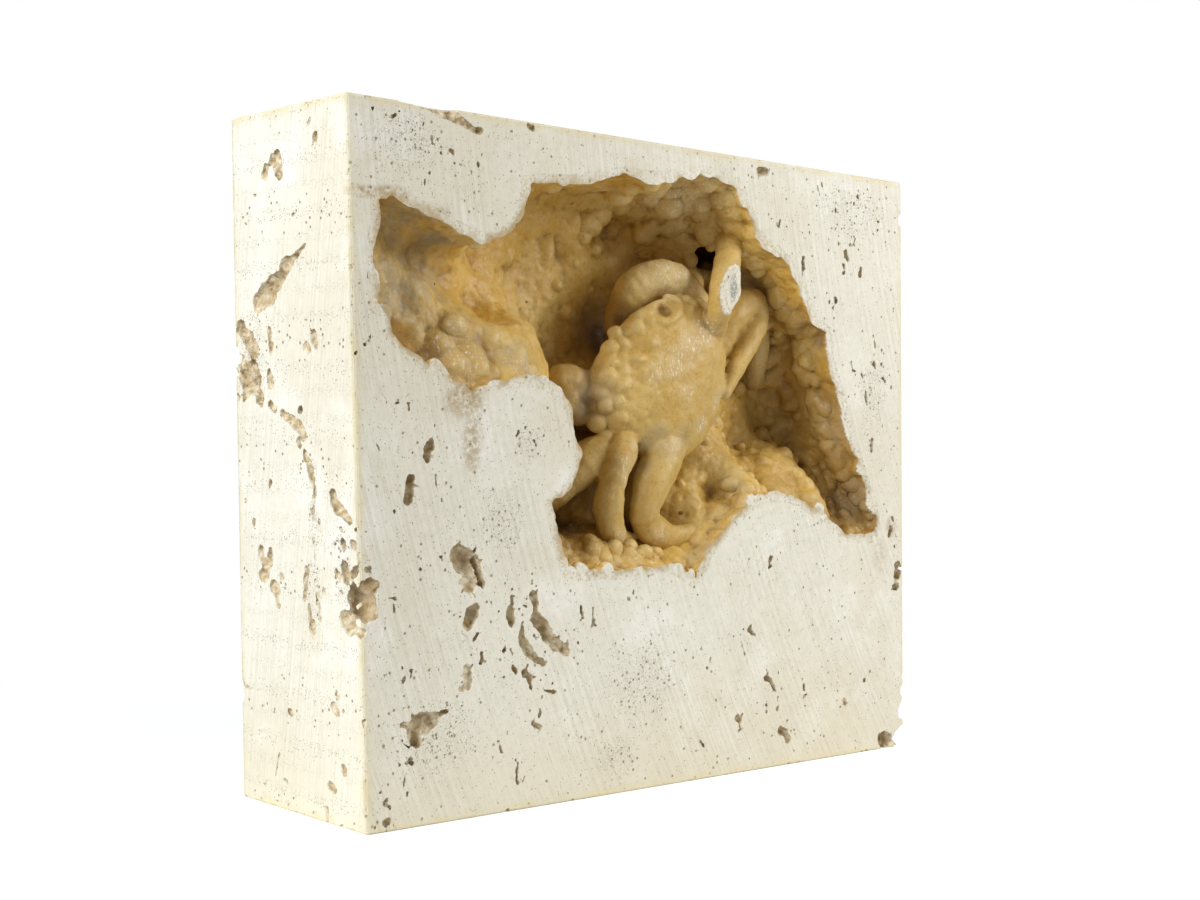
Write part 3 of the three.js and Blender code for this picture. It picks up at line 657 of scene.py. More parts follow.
block.update({
    "bevelSegments": 2,
    "pitStep": 0.55, "pitRough": 0.22, "pitVoxel": 0.42,
    "frontPits": [               # x, y to x, y and the width in pixels of the view, then the depth
        (430, 443, 427, 458, 11, 2.2), (412, 478, 408, 501, 11, 2.4), (436, 474, 437, 487, 5, 0.8),
        (457, 556, 464, 565, 19, 3), (467, 572, 471, 586, 13, 1.6), (478, 560, 484, 588, 8, 3.4),
        (474, 609, 470, 622, 12, 2.6), (512, 597, 513, 604, 7, 1.6), (509, 610, 512, 622, 9, 2),
        (532, 595, 537, 603, 9, 1.6), (535, 603, 538, 618, 8, 2), (538, 618, 548, 634, 11, 2.6),
        (546, 634, 556, 646, 10, 2.2), (556, 642, 568, 653, 9, 1.8), (523, 627, 523, 640, 9, 1.8),
        (524, 642, 533, 656, 9, 1.6), (533, 657, 545, 664, 8, 1.4), (478, 633, 475, 641, 6, 1.4),
        (483, 652, 481, 663, 6, 1.4), (466, 668, 468, 682, 13, 1.2), (460, 690, 466, 688, 5, 1),
        (504, 650, 507, 650, 6, 2.4), (500, 661, 501, 661, 4, 1.2), (513, 668, 516, 671, 6, 1.6),
        (523, 673, 530, 676, 8, 2.4), (529, 677, 531, 687, 7, 2.2), (547, 692, 555, 693, 7, 1.2),
        (544, 690, 545, 690, 4, 1), (541, 709, 539, 718, 5, 1), (533, 723, 540, 728, 6, 1.2),
        (402, 727, 410, 725, 8, 1.6), (413, 724, 422, 720, 14, 2.2), (414, 736, 418, 742, 12, 2),
        (424, 728, 430, 722, 14, 1.8), (434, 716, 446, 712, 8, 1.6), (500, 747, 501, 753, 4.5, 2),
        (519, 763, 516, 773, 4, 1.6), (516, 773, 518, 785, 4.5, 1.8), (406, 678, 403, 684, 5, 0.9),
        (411, 675, 411, 678, 5, 0.9), (409, 758, 406, 764, 6, 1), (412, 764, 414, 762, 6, 1),
        (406, 773, 403, 787, 3, 0.7), (384, 824, 388, 822, 8, 1.6), (383, 803, 391, 807, 5, 0.8),
        (377, 742, 378, 742, 4, 1.2), (581, 606, 582, 612, 5, 1.8), (583, 617, 584, 617, 4, 1.6),
        (594, 608, 593, 618, 3, 0.8), (593, 624, 592, 628, 4, 0.7), (440, 557, 441, 557, 5, 1.6),
        (479, 492, 480, 492, 4, 1.6), (419, 557, 420, 558, 3, 1), (390, 598, 397, 600, 5, 0.8),
        (536, 445, 537, 446, 6, 1.2), (516, 436, 518, 433, 5, 0.8), (395, 434, 396, 433, 4, 0.8),
        (386, 400, 387, 402, 3, 0.8), (377, 444, 380, 450, 4, 0.6), (425, 180, 426, 186, 4.5, 1.2),
        (478, 162, 480, 166, 4, 1.2), (475, 178, 476, 178, 2.5, 1.2), (451, 149, 455, 155, 4.5, 1.4),
        (429, 153, 430, 153, 4, 1), (373, 107, 374, 108, 7, 1.8), (394, 115, 393, 117, 6, 1),
        (417, 121, 417, 124, 4, 1.2), (424, 123, 423, 127, 4, 1), (432, 138, 434, 144, 5, 0.8),
        (448, 152, 449, 152, 4, 0.8), (460, 164, 461, 166, 3, 0.7), (399, 158, 400, 158, 2.5, 0.9),
        (368, 276, 369, 277, 3, 1), (365, 343, 366, 345, 4, 1), (402, 355, 404, 353, 3, 0.8),
        (407, 403, 410, 404, 5, 0.9), (397, 403, 398, 402, 4, 0.8), (751, 628, 751, 633, 7, 3),
        (767, 677, 770, 682, 6, 2.4), (771, 683, 775, 690, 5, 1.8), (781, 731, 785, 732, 9, 2.6),
        (787, 735, 789, 738, 7, 1.2), (864, 680, 864, 681, 6, 2), (766, 705, 767, 706, 5, 1.4),
        (737, 718, 739, 720, 6, 1.4), (738, 731, 742, 729, 3, 0.8), (716, 700, 717, 701, 3, 1),
        (700, 740, 704, 746, 4, 1.2), (805, 684, 804, 690, 4, 1.4), (804, 695, 804, 700, 3, 0.7),
        (770, 559, 770, 568, 4, 1.4), (773, 556, 771, 561, 4, 1), (844, 702, 846, 705, 5, 0.8),
        (778, 700, 779, 712, 2, 0.6), (741, 640, 748, 666, 2, 0.5), (628, 597, 630, 600, 5, 0.8),
        (704, 655, 705, 655, 2.5, 0.6), (711, 658, 710, 664, 2.5, 0.6), (761, 172, 766, 171, 10, 1.6),
        (779, 226, 779, 227, 4, 1.4), (772, 218, 773, 218, 4, 1.2), (780, 220, 781, 219, 4, 1.2),
        (836, 209, 836, 212, 4, 1.4), (878, 222, 879, 223, 4.5, 1.6), (857, 195, 858, 197, 4, 1),
        (846, 253, 848, 259, 6, 2), (843, 264, 844, 266, 5, 1.4), (861, 268, 861, 275, 6, 1.2),
        (835, 299, 836, 301, 5, 2), (827, 293, 827, 295, 3, 0.9), (875, 342, 876, 348, 4, 0.8),
        (804, 257, 803, 274, 6, 0.8), (891, 527, 890, 536, 6, 1.6), (892, 517, 893, 520, 4, 1),
        (818, 185, 820, 196, 3, 0.6), (810, 232, 811, 236, 2.5, 0.8), (855, 238, 853, 246, 3, 0.7),
        (851, 360, 853, 372, 2.5, 0.7), (874, 362, 876, 368, 4, 0.9), (866, 392, 867, 404, 4, 0.9),
        (872, 440, 872, 452, 5, 0.9), (862, 374, 863, 378, 4, 0.8), (883, 378, 886, 382, 4, 0.8),
        (745, 187, 746, 188, 3, 0.8), (822, 182, 822, 186, 4, 1), (528, 126, 533, 128, 7.2, 1.2),
    ],
    "leftPits": [                # the same on the left face
        (271, 160, 277, 156, 8, 1.4), (266, 168, 264, 175, 7, 1.6), (276, 163, 279, 174, 9, 1.4),
        (315, 134, 315, 140, 6, 1.8), (312, 145, 313, 145, 3, 0.8), (293, 214, 293, 216, 3.5, 1),
        (279, 132, 279, 135, 2, 0.8), (310, 118, 308, 124, 3, 0.8), (259, 302, 266, 297, 13, 2),
        (268, 294, 277, 281, 13, 2), (278, 279, 287, 267, 12, 1.8), (289, 264, 298, 254, 6, 1.4),
        (299, 252, 305, 243, 2.5, 0.8), (232, 214, 233, 216, 4, 1.8), (300, 409, 299, 410, 7, 3.5),
        (240, 328, 246, 338, 9, 2.6), (247, 338, 253, 349, 9, 2.4), (243, 362, 244, 376, 9, 3),
        (245, 380, 247, 392, 10, 3), (255, 366, 258, 380, 10, 3), (257, 384, 260, 398, 10, 3),
        (270, 372, 271, 382, 7, 1.6), (270, 330, 272, 352, 5, 1), (314, 335, 316, 345, 7, 1.8),
        (304, 345, 308, 350, 6, 1), (258, 400, 262, 404, 5, 1.6), (270, 405, 276, 409, 6, 1.2),
        (283, 413, 288, 418, 6, 1.4), (291, 420, 296, 424, 7, 1.8), (299, 424, 302, 430, 7, 2.4),
        (303, 434, 304, 437, 5, 1.2), (299, 441, 300, 444, 5, 1.4), (305, 452, 307, 458, 5, 1),
        (311, 466, 313, 478, 6.8, 1.8), (315, 490, 315, 500, 5, 0.7), (314, 505, 313, 520, 3.7, 0.7),
        (319, 520, 320, 530, 3.7, 0.6), (314, 535, 315, 560, 3.3, 0.5), (271, 480, 270, 487, 4, 1.4),
        (255, 521, 254, 525, 4, 1), (245, 500, 246, 503, 3, 0.8), (261, 550, 262, 560, 6, 1.4),
        (270, 552, 271, 562, 5, 1.8), (265, 565, 267, 572, 8, 1.6), (262, 575, 266, 580, 8, 1.2),
        (274, 585, 277, 590, 7, 1.6), (282, 575, 284, 577, 4, 1), (277, 598, 279, 606, 4, 0.8),
        (307, 570, 305, 585, 4.6, 1.2), (306, 585, 305, 600, 3.7, 1.2), (309, 605, 311, 630, 4.2, 0.9),
        (316, 580, 320, 620, 5.6, 0.35), (324, 588, 327, 600, 3.1, 0.4), (312, 626, 314, 630, 5.4, 1.4),
        (332, 495, 335, 506, 8, 2.2), (337, 507, 346, 515, 8, 2.4), (346, 516, 350, 522, 6, 2),
        (341, 529, 342, 530, 5, 1.2), (343, 543, 344, 546, 6, 1.8), (353, 543, 354, 548, 6, 1.8),
        (335, 543, 336, 544, 3, 1), (355, 530, 356, 530, 4, 1.2), (344, 568, 346, 576, 8, 2.2),
        (341, 592, 342, 593, 5, 1.6), (337, 574, 338, 577, 5, 1.2), (331, 554, 332, 555, 4, 1),
        (352, 575, 356, 572, 6, 1.8), (346, 620, 350, 627, 10, 1.8), (356, 631, 362, 633, 8, 1.6),
        (240, 683, 250, 689, 3, 0.7), (257, 690, 262, 690, 2, 0.6), (289, 711, 292, 713, 6, 1.2),
        (336, 692, 338, 696, 4, 1), (335, 707, 337, 710, 6, 1.2), (343, 712, 344, 713, 4, 0.8),
        (343, 768, 345, 774, 6, 1), (329, 785, 334, 791, 5, 1.2), (280, 754, 276, 776, 2, 0.6),
        (285, 780, 287, 781, 3, 0.8), (327, 808, 328, 816, 5, 0.8), (254, 195, 255, 196, 3, 0.8),
        (262, 232, 262, 233, 3, 0.8),
    ],
    "hiddenPits": {"right": 34, "top": 30, "back": 90},
    "chips": [                   # places knocked off the edges: centre, half sizes and how many rough balls
        ((-88.6, -25, 51), (2.4, 4.4, 5.2), 46), ((-88.8, -25.4, 57.5), (1.2, 2.4, 1.6), 6),
        ((91.3, -25.8, 149.5), (1.4, 1.6, 2.2), 5), ((91.5, -25.6, 48), (1.7, 2, 5), 10),
        ((96.4, -25, 12), (2.4, 7, 5.5), 16), ((92, -25.4, 2), (7, 3, 3.2), 16),
        ((-93.6, 24.2, 110), (1.8, 3, 8), 18), ((-93, 20, 99), (1.6, 5, 5), 12),
        ((-88, 25.5, 20), (1.6, 2, 7), 8), ((40, 22.8, 160.4), (14, 1.8, 1.2), 12),
    ],
    "spall": [                   # the long flake lost from the top edge: x, z, half height and half depth
        (-81.5, 160.2, 0.5, 1.2), (-78.9, 160.3, 1, 2.2), (-75.9, 160.4, 1.6, 3), (-73, 160.3, 2, 3.4),
        (-70, 160, 2.6, 3.4), (-67.6, 159.2, 2.6, 3), (-66.2, 157.8, 1.5, 2.4), (-64.4, 157.2, 0.9, 2),
        (-62.6, 156.4, 0.8, 1.8), (-60.8, 155.9, 0.8, 1.6), (-58.9, 155.8, 1.3, 1.8),
    ],
    "nicks": 420, "nickSize": (0.25, 0.8), "satellites": 2.2,
})


def blockCorners():
    b = block
    return {
        (-1, -1, -1): (b["leftFootX"], b["frontY"], 0), (1, -1, -1): (b["rightFootX"], b["frontY"], 0),
        (-1, -1, 1): (b["leftTopX"], b["frontY"], b["height"]),
        (1, -1, 1): (b["rightTopX"], b["frontY"], b["height"]),
        (-1, 1, -1): (b["leftFootX"], b["backFootY"], 0), (1, 1, -1): (b["rightFootX"], b["backFootY"], 0),
        (-1, 1, 1): (b["leftTopX"], b["backTopY"], b["height"]),
        (1, 1, 1): (b["rightTopX"], b["backTopY"], b["height"]),
    }


def sawnBlock():
    corners = blockCorners()
    bm = bmesh.new()
    bmesh.ops.create_cube(bm, size=2)
    for v in bm.verts:
        v.co = Vector(corners[tuple(round(c) for c in v.co)]) * mm
    bmesh.ops.bevel(
        bm, geom=bm.edges[:], affect="EDGES", offset=block["edgeWear"] * mm,
        segments=block["bevelSegments"], profile=0.5, material=-1,
    )
    scoreFaces(bm, 8 * mm, (0, 1, 2))
    return newPiece("travertine_block_stone", bm)


def onSide(side, along, z):      # a point of one face, from its place along the face and its height
    rise = z / block["height"]
    if side == "front":
        return Vector((along, block["frontY"], z))
    if side == "back":
        return Vector((along, block["backFootY"] + (block["backTopY"] - block["backFootY"]) * rise, z))
    if side == "left":
        return Vector((block["leftFootX"] + (block["leftTopX"] - block["leftFootX"]) * rise, along, z))
    if side == "right":
        return Vector((block["rightFootX"] + (block["rightTopX"] - block["rightFootX"]) * rise, along, z))
    return Vector((along, z, block["height"]))


sighting = {                     # the view in which the pits were listed, 1200 x 900 pixels
    "place": (-306.44, -344.76, 88.8),
    "frontY": -25.86,            # the front face, seen from that place
    "focal": 1773, "middle": (600, 450),
    "reach": 4,                  # pixels each way over which the scale is taken
    "shortest": 2,               # below this many pixels a pit has no direction
}


def sighted(side, x, y):         # the place on the front or left face behind a pixel of the view
    right, up, back = viewAxes()
    middleX, middleY = sighting["middle"]
    ray = (right * (x - middleX) - up * (y - middleY)) / sighting["focal"] - back
    eye = Vector(sighting["place"])
    if side == "front":
        return eye + ray * ((sighting["frontY"] - eye.y) / ray.y)
    lean = (block["leftTopX"] - block["leftFootX"]) / block["height"]
    return eye + ray * ((block["leftFootX"] + lean * eye.z - eye.x) / (ray.x - lean * ray.z))


def nearestHalf(value):
    return round(round(value, 1) * 2) / 2


def pitsOf(side):                # along, z to along, z, half the width and the depth, in millimetres
    axis = 0 if side == "front" else 1
    reach = sighting["reach"]
    pits = []
    for x1, y1, x2, y2, width, depth in block[side + "Pits"]:
        places = (sighted(side, x1, y1), sighted(side, x2, y2))
        ends = [nearestHalf(place[i]) for place in places for i in (axis, 2)]
        x, y = (x1 + x2) / 2, (y1 + y2) / 2
        level = (sighted(side, x + reach, y) - sighted(side, x - reach, y)).length / (2 * reach)
        upright = (sighted(side, x, y + reach) - sighted(side, x, y - reach)).length / (2 * reach)
        slope = math.atan2(abs(y2 - y1), abs(x2 - x1))
        scale = (level + upright) / 2
        if math.hypot(x2 - x1, y2 - y1) > sighting["shortest"]:
            scale = level * math.sin(slope) + upright * math.cos(slope)
        pits.append((*ends, round(width * scale / 2, 1), depth))
    return pits


def pitBalls(rng, start, end, halfWidth, depth, inwards):
    balls = []
    count = max(1, round((end - start).length / (halfWidth * block["pitStep"])))
    for i in range(count + 1):
        centre = start.lerp(end, i / count)
        size = halfWidth * rng.uniform(0.7, 1.1)
        centre += Vector([rng.uniform(-1, 1) * halfWidth * block["pitRough"] for _ in range(3)])
        radii = [size, size, size]
        radii[inwards] = depth * rng.uniform(0.7, 1.1)
        balls.append((centre, radii))
    return balls


def pitCutter():
    rng = random.Random(21)
    balls = []
    for x1, z1, x2, z2, halfWidth, depth in pitsOf("front"):
        share = 0.6 + 0.35 * smoothstep(0.8, 2.2, halfWidth)
        balls += pitBalls(rng, onSide("front", x1, z1), onSide("front", x2, z2), halfWidth * share, depth, 1)
        for _ in range(round(halfWidth * block["satellites"])):
            size = rng.uniform(0.2, 0.55)
            reach = halfWidth + rng.uniform(0.3, 2.5)
            angle = rng.uniform(0, math.tau)
            along, z = rng.choice(((x1, z1), (x2, z2)))
            centre = onSide("front", along + reach * math.cos(angle), z + reach * math.sin(angle))
            balls.append((centre, (size, size * 2, size * rng.uniform(0.8, 1.6))))
    for y1, z1, y2, z2, halfWidth, depth in pitsOf("left"):
        balls += pitBalls(rng, onSide("left", y1, z1), onSide("left", y2, z2), halfWidth, depth, 0)
    for side, count in block["hiddenPits"].items():
        wide = 22 if side == "right" else 86
        centres = [(rng.uniform(-wide, wide), rng.uniform(8, 152)) for _ in range(5)]
        for i in range(count):
            along, z = rng.choice(centres) if i % 3 else (0, 80)
            reach = 14 if i % 3 else 90
            along = min(max(along + rng.uniform(-reach, reach), -wide), wide)
            z = min(max(z + rng.uniform(-reach, reach), 5), 155)
            if side == "top":
                z = (z - 80) / 75 * 20 - 1.5
            size = 0.4 + 1.5 * rng.random() ** 2.5
            angle = rng.uniform(-0.5, 0.5)
            length = size * rng.uniform(0.3, 3.5)
            start = onSide(side, along, z)
            end = onSide(side, along + length * math.sin(angle), z + length * math.cos(angle))
            inwards = {"right": 0, "back": 1, "top": 2}[side]
            balls += pitBalls(rng, start, end, size, size * rng.uniform(0.8, 1.6), inwards)
    for (x1, z1, up1, deep1), (x2, z2, up2, deep2) in zip(block["spall"], block["spall"][1:]):
        for t in (0, 0.5):
            up, deep = up1 + (up2 - up1) * t, deep1 + (deep2 - deep1) * t
            centre = (x1 + (x2 - x1) * t, block["frontY"], z1 + (z2 - z1) * t + rng.uniform(-0.2, 0.2))
            balls.append((centre, (1.3, deep, up)))
    for centre, half, count in block["chips"]:
        for _ in range(count):
            size = rng.uniform(0.45, 1) * min(half)
            place = [c + rng.uniform(-1, 1) * (h - size * 0.6) for c, h in zip(centre, half)]
            balls.append((place, [size * rng.uniform(0.7, 1.4) for _ in range(3)]))
    corners = {key: Vector(place) for key, place in blockCorners().items()}
    edges = [(a, b) for a in corners for b in corners if a < b and sum(p != q for p, q in zip(a, b)) == 1]
    for _ in range(block["nicks"]):
        a, b = rng.choice(edges)
        centre = corners[a].lerp(corners[b], rng.random())
        size = rng.uniform(*block["nickSize"]) * rng.uniform(0.5, 1)
        balls.append((centre, [size * rng.uniform(0.7, 1.6) for _ in range(3)]))
    cutter = newBalls("pits", balls)
    remesh(cutter, block["pitVoxel"], 1)
    mesh = cutter.data
    moved = [
        v.co + v.normal * mm * (0.35 * noise.noise(v.co / mm * 0.9) + 0.22 * noise.noise(v.co / mm * 2.3))
        for v in mesh.vertices
    ]
    mesh.vertices.foreach_set("co", [c for co in moved for c in co])
    return cutter


stonePiece = sawnBlock()
outside = hollowPiece("outside", crust["atRim"], crust["inside"], 4.8, block["frontY"] - 4)
cut(stonePiece, outside)
removePiece(outside)
pits = pitCutter()
cut(stonePiece, pits)
removePiece(pits)
print("block", len(stonePiece.data.polygons), "faces")


crab = {
    "centre": (10.5, -13.9, 102.5),
    "reach": (19.5, 21.5, 23.5, 20.4, 18.8, 18.6, 22.4, 22.8, 21, 21.4, 21, 19),   # every 30 degrees
    "dome": 7, "belly": 7, "leans": (0.15, 0.05), "shoulder": 0.72,
    "limbs": {                   # chains of x, y, z and radius from joint to joint
        "right_claw": [
            [(24, -12.5, 123.3, 3), (16.4, -10.9, 127.8, 4.9), (10.2, -8.9, 128, 5.2),
             (5.1, -6.9, 124.6, 4.9), (2.8, -4.9, 118.4, 3.9), (4, -2, 112, 2.8)],
            [(17, -8.5, 127, 3), (22.6, -9.4, 128.8, 3.2), (25.2, -9.6, 128.4, 2.6)],
        ],
        "left_claw": [
            [(-1.5, -6.5, 100.5, 3.6), (-7.8, -4.9, 98.4, 4.6), (-10.2, -3.4, 94.3, 3.8),
             (-7, -3, 91.5, 3.2)],
            [(-9, -6, 98.5, 4.4), (-14.5, -7, 100, 5.2), (-19.5, -8, 100.5, 4.2), (-19.5, -7.5, 96.5, 3.6),
             (-14, -6.5, 94.5, 4.4), (-9, -6, 93.5, 3.6)],
        ],
        "right_leg_1": [
            [(28, -14, 112, 2.8), (21.6, -22, 119.5, 3.2), (22.2, -23.6, 125.2, 4),
             (24.4, -22.2, 131, 3.6), (32.5, -14.5, 140, 3.4), (39, -6, 144, 3)],
        ],
        "right_leg_2": [
            [(30, -12.5, 109, 3.4), (38.4, -12.9, 121.4, 4.3), (45.3, -12.4, 123.9, 4)],
            [(45.3, -13.4, 122.6, 3.3), (44.2, -14.7, 118.6, 3), (38.1, -16.6, 111.8, 3),
             (29.6, -17, 99, 2)],
        ],
        "right_leg_3": [
            [(31, -9.5, 105, 2.4), (51.2, -7.6, 120.3, 2.8)],
            [(51.2, -7.6, 119.5, 2.9), (53, -7, 111.6, 3), (54.6, -4, 103.5, 2.8)],
        ],
        "left_leg_1": [
            [(-1.6, -11.8, 87, 2.8), (-5.3, -15.8, 83.6, 3.7), (-8.8, -15.9, 76.5, 3.6),
             (-9.6, -15.4, 70, 3.9), (-8.4, -14.8, 64.6, 3.9),
             (-5.2, -13.4, 61.4, 3.2), (-0.5, -12.4, 60.8, 2.3)],
        ],
        "left_leg_2": [
            [(1, -11, 86, 3.8), (-6.4, -10.2, 83.2, 4.9), (-11.6, -9.4, 80.6, 5.4), (-20, -4.6, 71.5, 4)],
        ],
        "left_leg_3": [
            [(10.4, -13.4, 87, 5.4), (8.2, -15.8, 81.4, 5.7), (3, -17, 74, 4.6), (1.7, -16.4, 68.6, 4),
             (6.2, -15, 63, 4.3), (12.6, -15.4, 61.5, 3.3), (18.8, -15.6, 62.2, 3)],
        ],
        "left_leg_4": [
            [(6, -8.5, 86, 3.4), (5.2, -10.5, 76.1, 3.2), (3, -10.4, 68.4, 2.9), (8, -9, 59.4, 2.4)],
        ],
    },
    "ballStep": 1.1,
    "nodules": [                 # lumps on the carapace: x, z, radius and how far they stand proud
        (-9.4, 102, 3.5, 2.8), (-10.8, 98.2, 2.4, 2), (-9.4, 95, 2, 1.7), (-10.4, 90.6, 2.3, 1.8),
        (-8, 87, 2, 1.7), (-6.6, 96, 1.6, 1.3), (-7.2, 109, 2.6, 1.9), (-8.2, 105.6, 2.2, 1.6),
        (-4.2, 110.4, 2.3, 1.1), (-5, 113, 2, 1.3), (-0.6, 114.4, 2.3, 1.2), (3, 116.2, 2, 1.1),
        (-5.4, 103.7, 2.3, 0.9), (-6, 100.1, 2.2, 1.1), (-1, 103, 2.3, 0.7), (-1.8, 106.8, 2.5, 0.9),
        (2.4, 110.5, 2.4, 0.8), (-5.2, 92, 1.8, 1), (-5.6, 88.6, 1.7, 0.9),
        (16.2, 122.8, 1.5, 0.9), (17.6, 121.6, 1.4, 0.9), (20.7, 122.2, 1.4, 0.8), (22.9, 120.9, 1.6, 0.9),
        (16, 120.3, 1.3, 0.6), (24.6, 118.6, 1.6, 0.7),
    ],
    "bumps": {"count": 55, "smallest": 1.2, "largest": 2.4, "proud": (0.05, 0.35)},
    "orbit": [                   # the curled rim of the eye socket and the lobe beside it
        [(9.6, -15, 123, 1.2), (12.2, -15.8, 122.6, 1.3), (12, -17.4, 120.6, 1.4), (9.7, -18.4, 118, 1.4),
         (6.7, -18.4, 116.4, 1.3), (4.2, -17.2, 116.8, 1.1)],
        [(0.8, -14.6, 117.6, 1.5), (2.8, -15, 119, 1.5), (5, -15.4, 120.4, 1.4), (7.4, -15.2, 121.6, 1.2)],
    ],
    "socket": ((7, -18.3, 119.5), (1.7, 2.6, 1.8)),
    "clawLumps": 16,
    "voxel": 0.4,
    "smoothing": 5,
    "cell": 3.6,
}


def carapaceReach(angle):
    reach = crab["reach"]
    place = angle / math.tau * len(reach) % len(reach)
    i = int(place)
    near = [(reach[(i + k) % len(reach)],) for k in (-1, 0, 1, 2)]
    return splinePoint(near, (1 + place - i) / 3)[0]


def leanBack(away):              # the shell turns a little towards the left
    left, right = crab["leans"]
    return away * (left if away < 0 else right)


def addCarapace(bm):
    centreX, centreY, centreZ = crab["centre"]
    for v in bmesh.ops.create_uvsphere(bm, u_segments=48, v_segments=32, radius=1)["verts"]:
        flat = math.hypot(v.co.x, v.co.y)
        angle = math.atan2(v.co.y, v.co.x)
        isFront = v.co.z > 0
        across = flat ** (crab["shoulder"] if isFront else 1.1)
        reach = carapaceReach(angle) * across
        away = reach * math.cos(angle)
        thick = crab["dome"] if isFront else crab["belly"]
        v.co = (centreX + away, centreY - v.co.z * thick - leanBack(away), centreZ + reach * math.sin(angle))
        v.co *= mm


def shellFront(x, z):            # the y of the carapace's face at a place
    centreX, centreY, centreZ = crab["centre"]
    away = math.hypot(x - centreX, z - centreZ) / carapaceReach(math.atan2(z - centreZ, x - centreX))
    flat = min(away, 0.99) ** (1 / crab["shoulder"])
    return centreY - crab["dome"] * math.sqrt(1 - flat ** 2) - leanBack(x - centreX)


def shellLumps(rng):             # big lumps as listed, small ones thinning out towards the right
    lumps = [(x, z, radius, proud * 0.85) for x, z, radius, proud in crab["nodules"]]
    bumps = crab["bumps"]
    centreX, _, centreZ = crab["centre"]
    while len(lumps) < len(crab["nodules"]) + bumps["count"]:
        x, z = rng.uniform(-11, 20), rng.uniform(84, 122)
        reach = carapaceReach(math.atan2(z - centreZ, x - centreX))
        isOnShell = math.hypot(x - centreX, z - centreZ) < reach * 0.93
        if isOnShell and rng.random() < smoothstep(9, -3, x + (z - 104) * 0.25):
            size = bumps["smallest"] + (bumps["largest"] - bumps["smallest"]) * rng.random() ** 2
            lumps.append((x, z, size, rng.uniform(*bumps["proud"])))
    balls = []
    for x, z, radius, proud in lumps:
        y = shellFront(x, z) - proud + radius
        balls.append(((x, y, z), [radius * rng.uniform(0.9, 1.1) for _ in range(3)]))
    return balls


def addChain(bm, chain, grown=0, rough=None):
    length = sum(math.dist(a[:3], b[:3]) for a, b in zip(chain, chain[1:]))
    count = math.ceil(length / crab["ballStep"])
    for i in range(count + 1):
        x, y, z, radius = splinePoint(chain, i / count)
        radius += grown
        if rough:
            radius *= rough.uniform(0.95, 1.05)
        addBall(bm, (x, y, z), (radius, radius, radius))


def leftClawLumps(rng):          # the rounded crust on the folded claw at the left
    return [
        ((-13.5 + rng.uniform(-8.5, 7), -8.6 + rng.uniform(-1.5, 1), 97.4 + rng.uniform(-6, 5.5)),
         [rng.uniform(1.6, 2.8)] * 3)
        for _ in range(crab["clawLumps"])
    ]


def crabForm():
    rng = random.Random(3)
    bm = bmesh.new()
    addCarapace(bm)
    for chain in crab["orbit"]:
        addChain(bm, chain)
    for chains in crab["limbs"].values():
        for chain in chains:
            addChain(bm, chain, rough=rng)
    shell = newPiece("carapace_skin", bm)
    form = joinPieces([shell, newBalls("lumps", leftClawLumps(rng) + shellLumps(rng))])
    bm = bmesh.new()
    addBall(bm, *crab["socket"], fineness=3)
    socket = newPiece("socket", bm)
    remesh(form, crab["voxel"], 1)
    cut(form, socket)
    removePiece(socket)
    remesh(form, crab["voxel"], crab["smoothing"])

    mesh = form.data
    moved = []
    for v in mesh.vertices:
        p = v.co / mm
        onShell = smoothstep(0, 3, -p.y - 9) * smoothstep(84, 90, p.z) * smoothstep(34, 30, p.x)
        crusted = onShell * smoothstep(14, 2, p.x + (p.z - 104) * 0.25)
        rise = (0.1 + 0.2 * crusted) * pillow(p, crab["cell"]) + (0.04 + 0.12 * crusted) * pillow(p, 1.9)
        rise += 0.5 * noise.noise(p * 0.17) + 0.16 * noise.noise(p * 0.45) + 0.05 * noise.noise(p * 1.1)
        moved.append(v.co + v.normal * rise * mm)
    mesh.vertices.foreach_set("co", [c for co in moved for c in co])
    return form


def sawOff(piece):               # everything in front of the stone's face was sawn away
    bm = bmesh.new()
    bmesh.ops.create_cube(bm, size=1)
    bmesh.ops.scale(bm, vec=(0.3, 0.03, 0.3), verts=bm.verts)
    bmesh.ops.translate(bm, vec=(0, (block["frontY"] + crust["sawnBack"]) * mm - 0.015, 0.08), verts=bm.verts)
    saw = newPiece("saw", bm)
    cut(piece, saw)
    removePiece(saw)


def splitCrab(form):
    bm = bmesh.new()
    addCarapace(bm)
    shell = newPiece("shell", bm)
    parts = []
    for name, chains in crab["limbs"].items():
        bm = bmesh.new()
        for chain in chains:
            addChain(bm, chain, grown=1.3)
        zone = newPiece("zone", bm)
        remesh(zone, 0.9)
        cut(zone, shell)
        part = copyPiece(form, name + "_skin")
        cut(part, zone, "INTERSECT")
        cut(form, zone)
        removePiece(zone)
        parts.append((part, name))
    removePiece(shell)
    parts.append((form, "carapace"))
    return parts


crabBody = crabForm()
sawOff(crabBody)
weldDistance(crabBody)
# the crease measure, used to paint shade into the creases and light onto the crests
markCreases(crabBody, 20, 0.6)
# painted shade: these spots darken where the limbs run back into the hollow, under the left claw, in the eye
# socket and beside the claw
markSpots(crabBody, "richAndShade", [
    ((2.8, -3, 118), 9, 0.9), ((4, -2, 112), 9, 1.5), ((-20, -4, 68), 7, 0.7), ((6, -8, 66), 9, 0.8),
    ((55, -3, 101), 10, 0.4), ((40, -5, 145), 9, 1), ((-10, -2, 92), 9, 1.6), ((-14, -5, 98), 13, 0.8),
    ((7, -16.6, 119.5), 2.6, 1), ((-0.5, -8, 117), 5, 1.1), ((37, -8, 143.5), 9, 1),
    ((-12, -6, 94), 6, 1), ((-14, -10, 98), 9, 0.35),
])
# painted light: paler patches, above all on the right claw
markSpots(crabBody, "pale", [
    ((10, -9, 129), 12, 1), ((-8, -18, 98), 8, 0.3), ((-20, -8, 80), 12, 0.4), ((53, -8, 110), 12, 0.6),
])
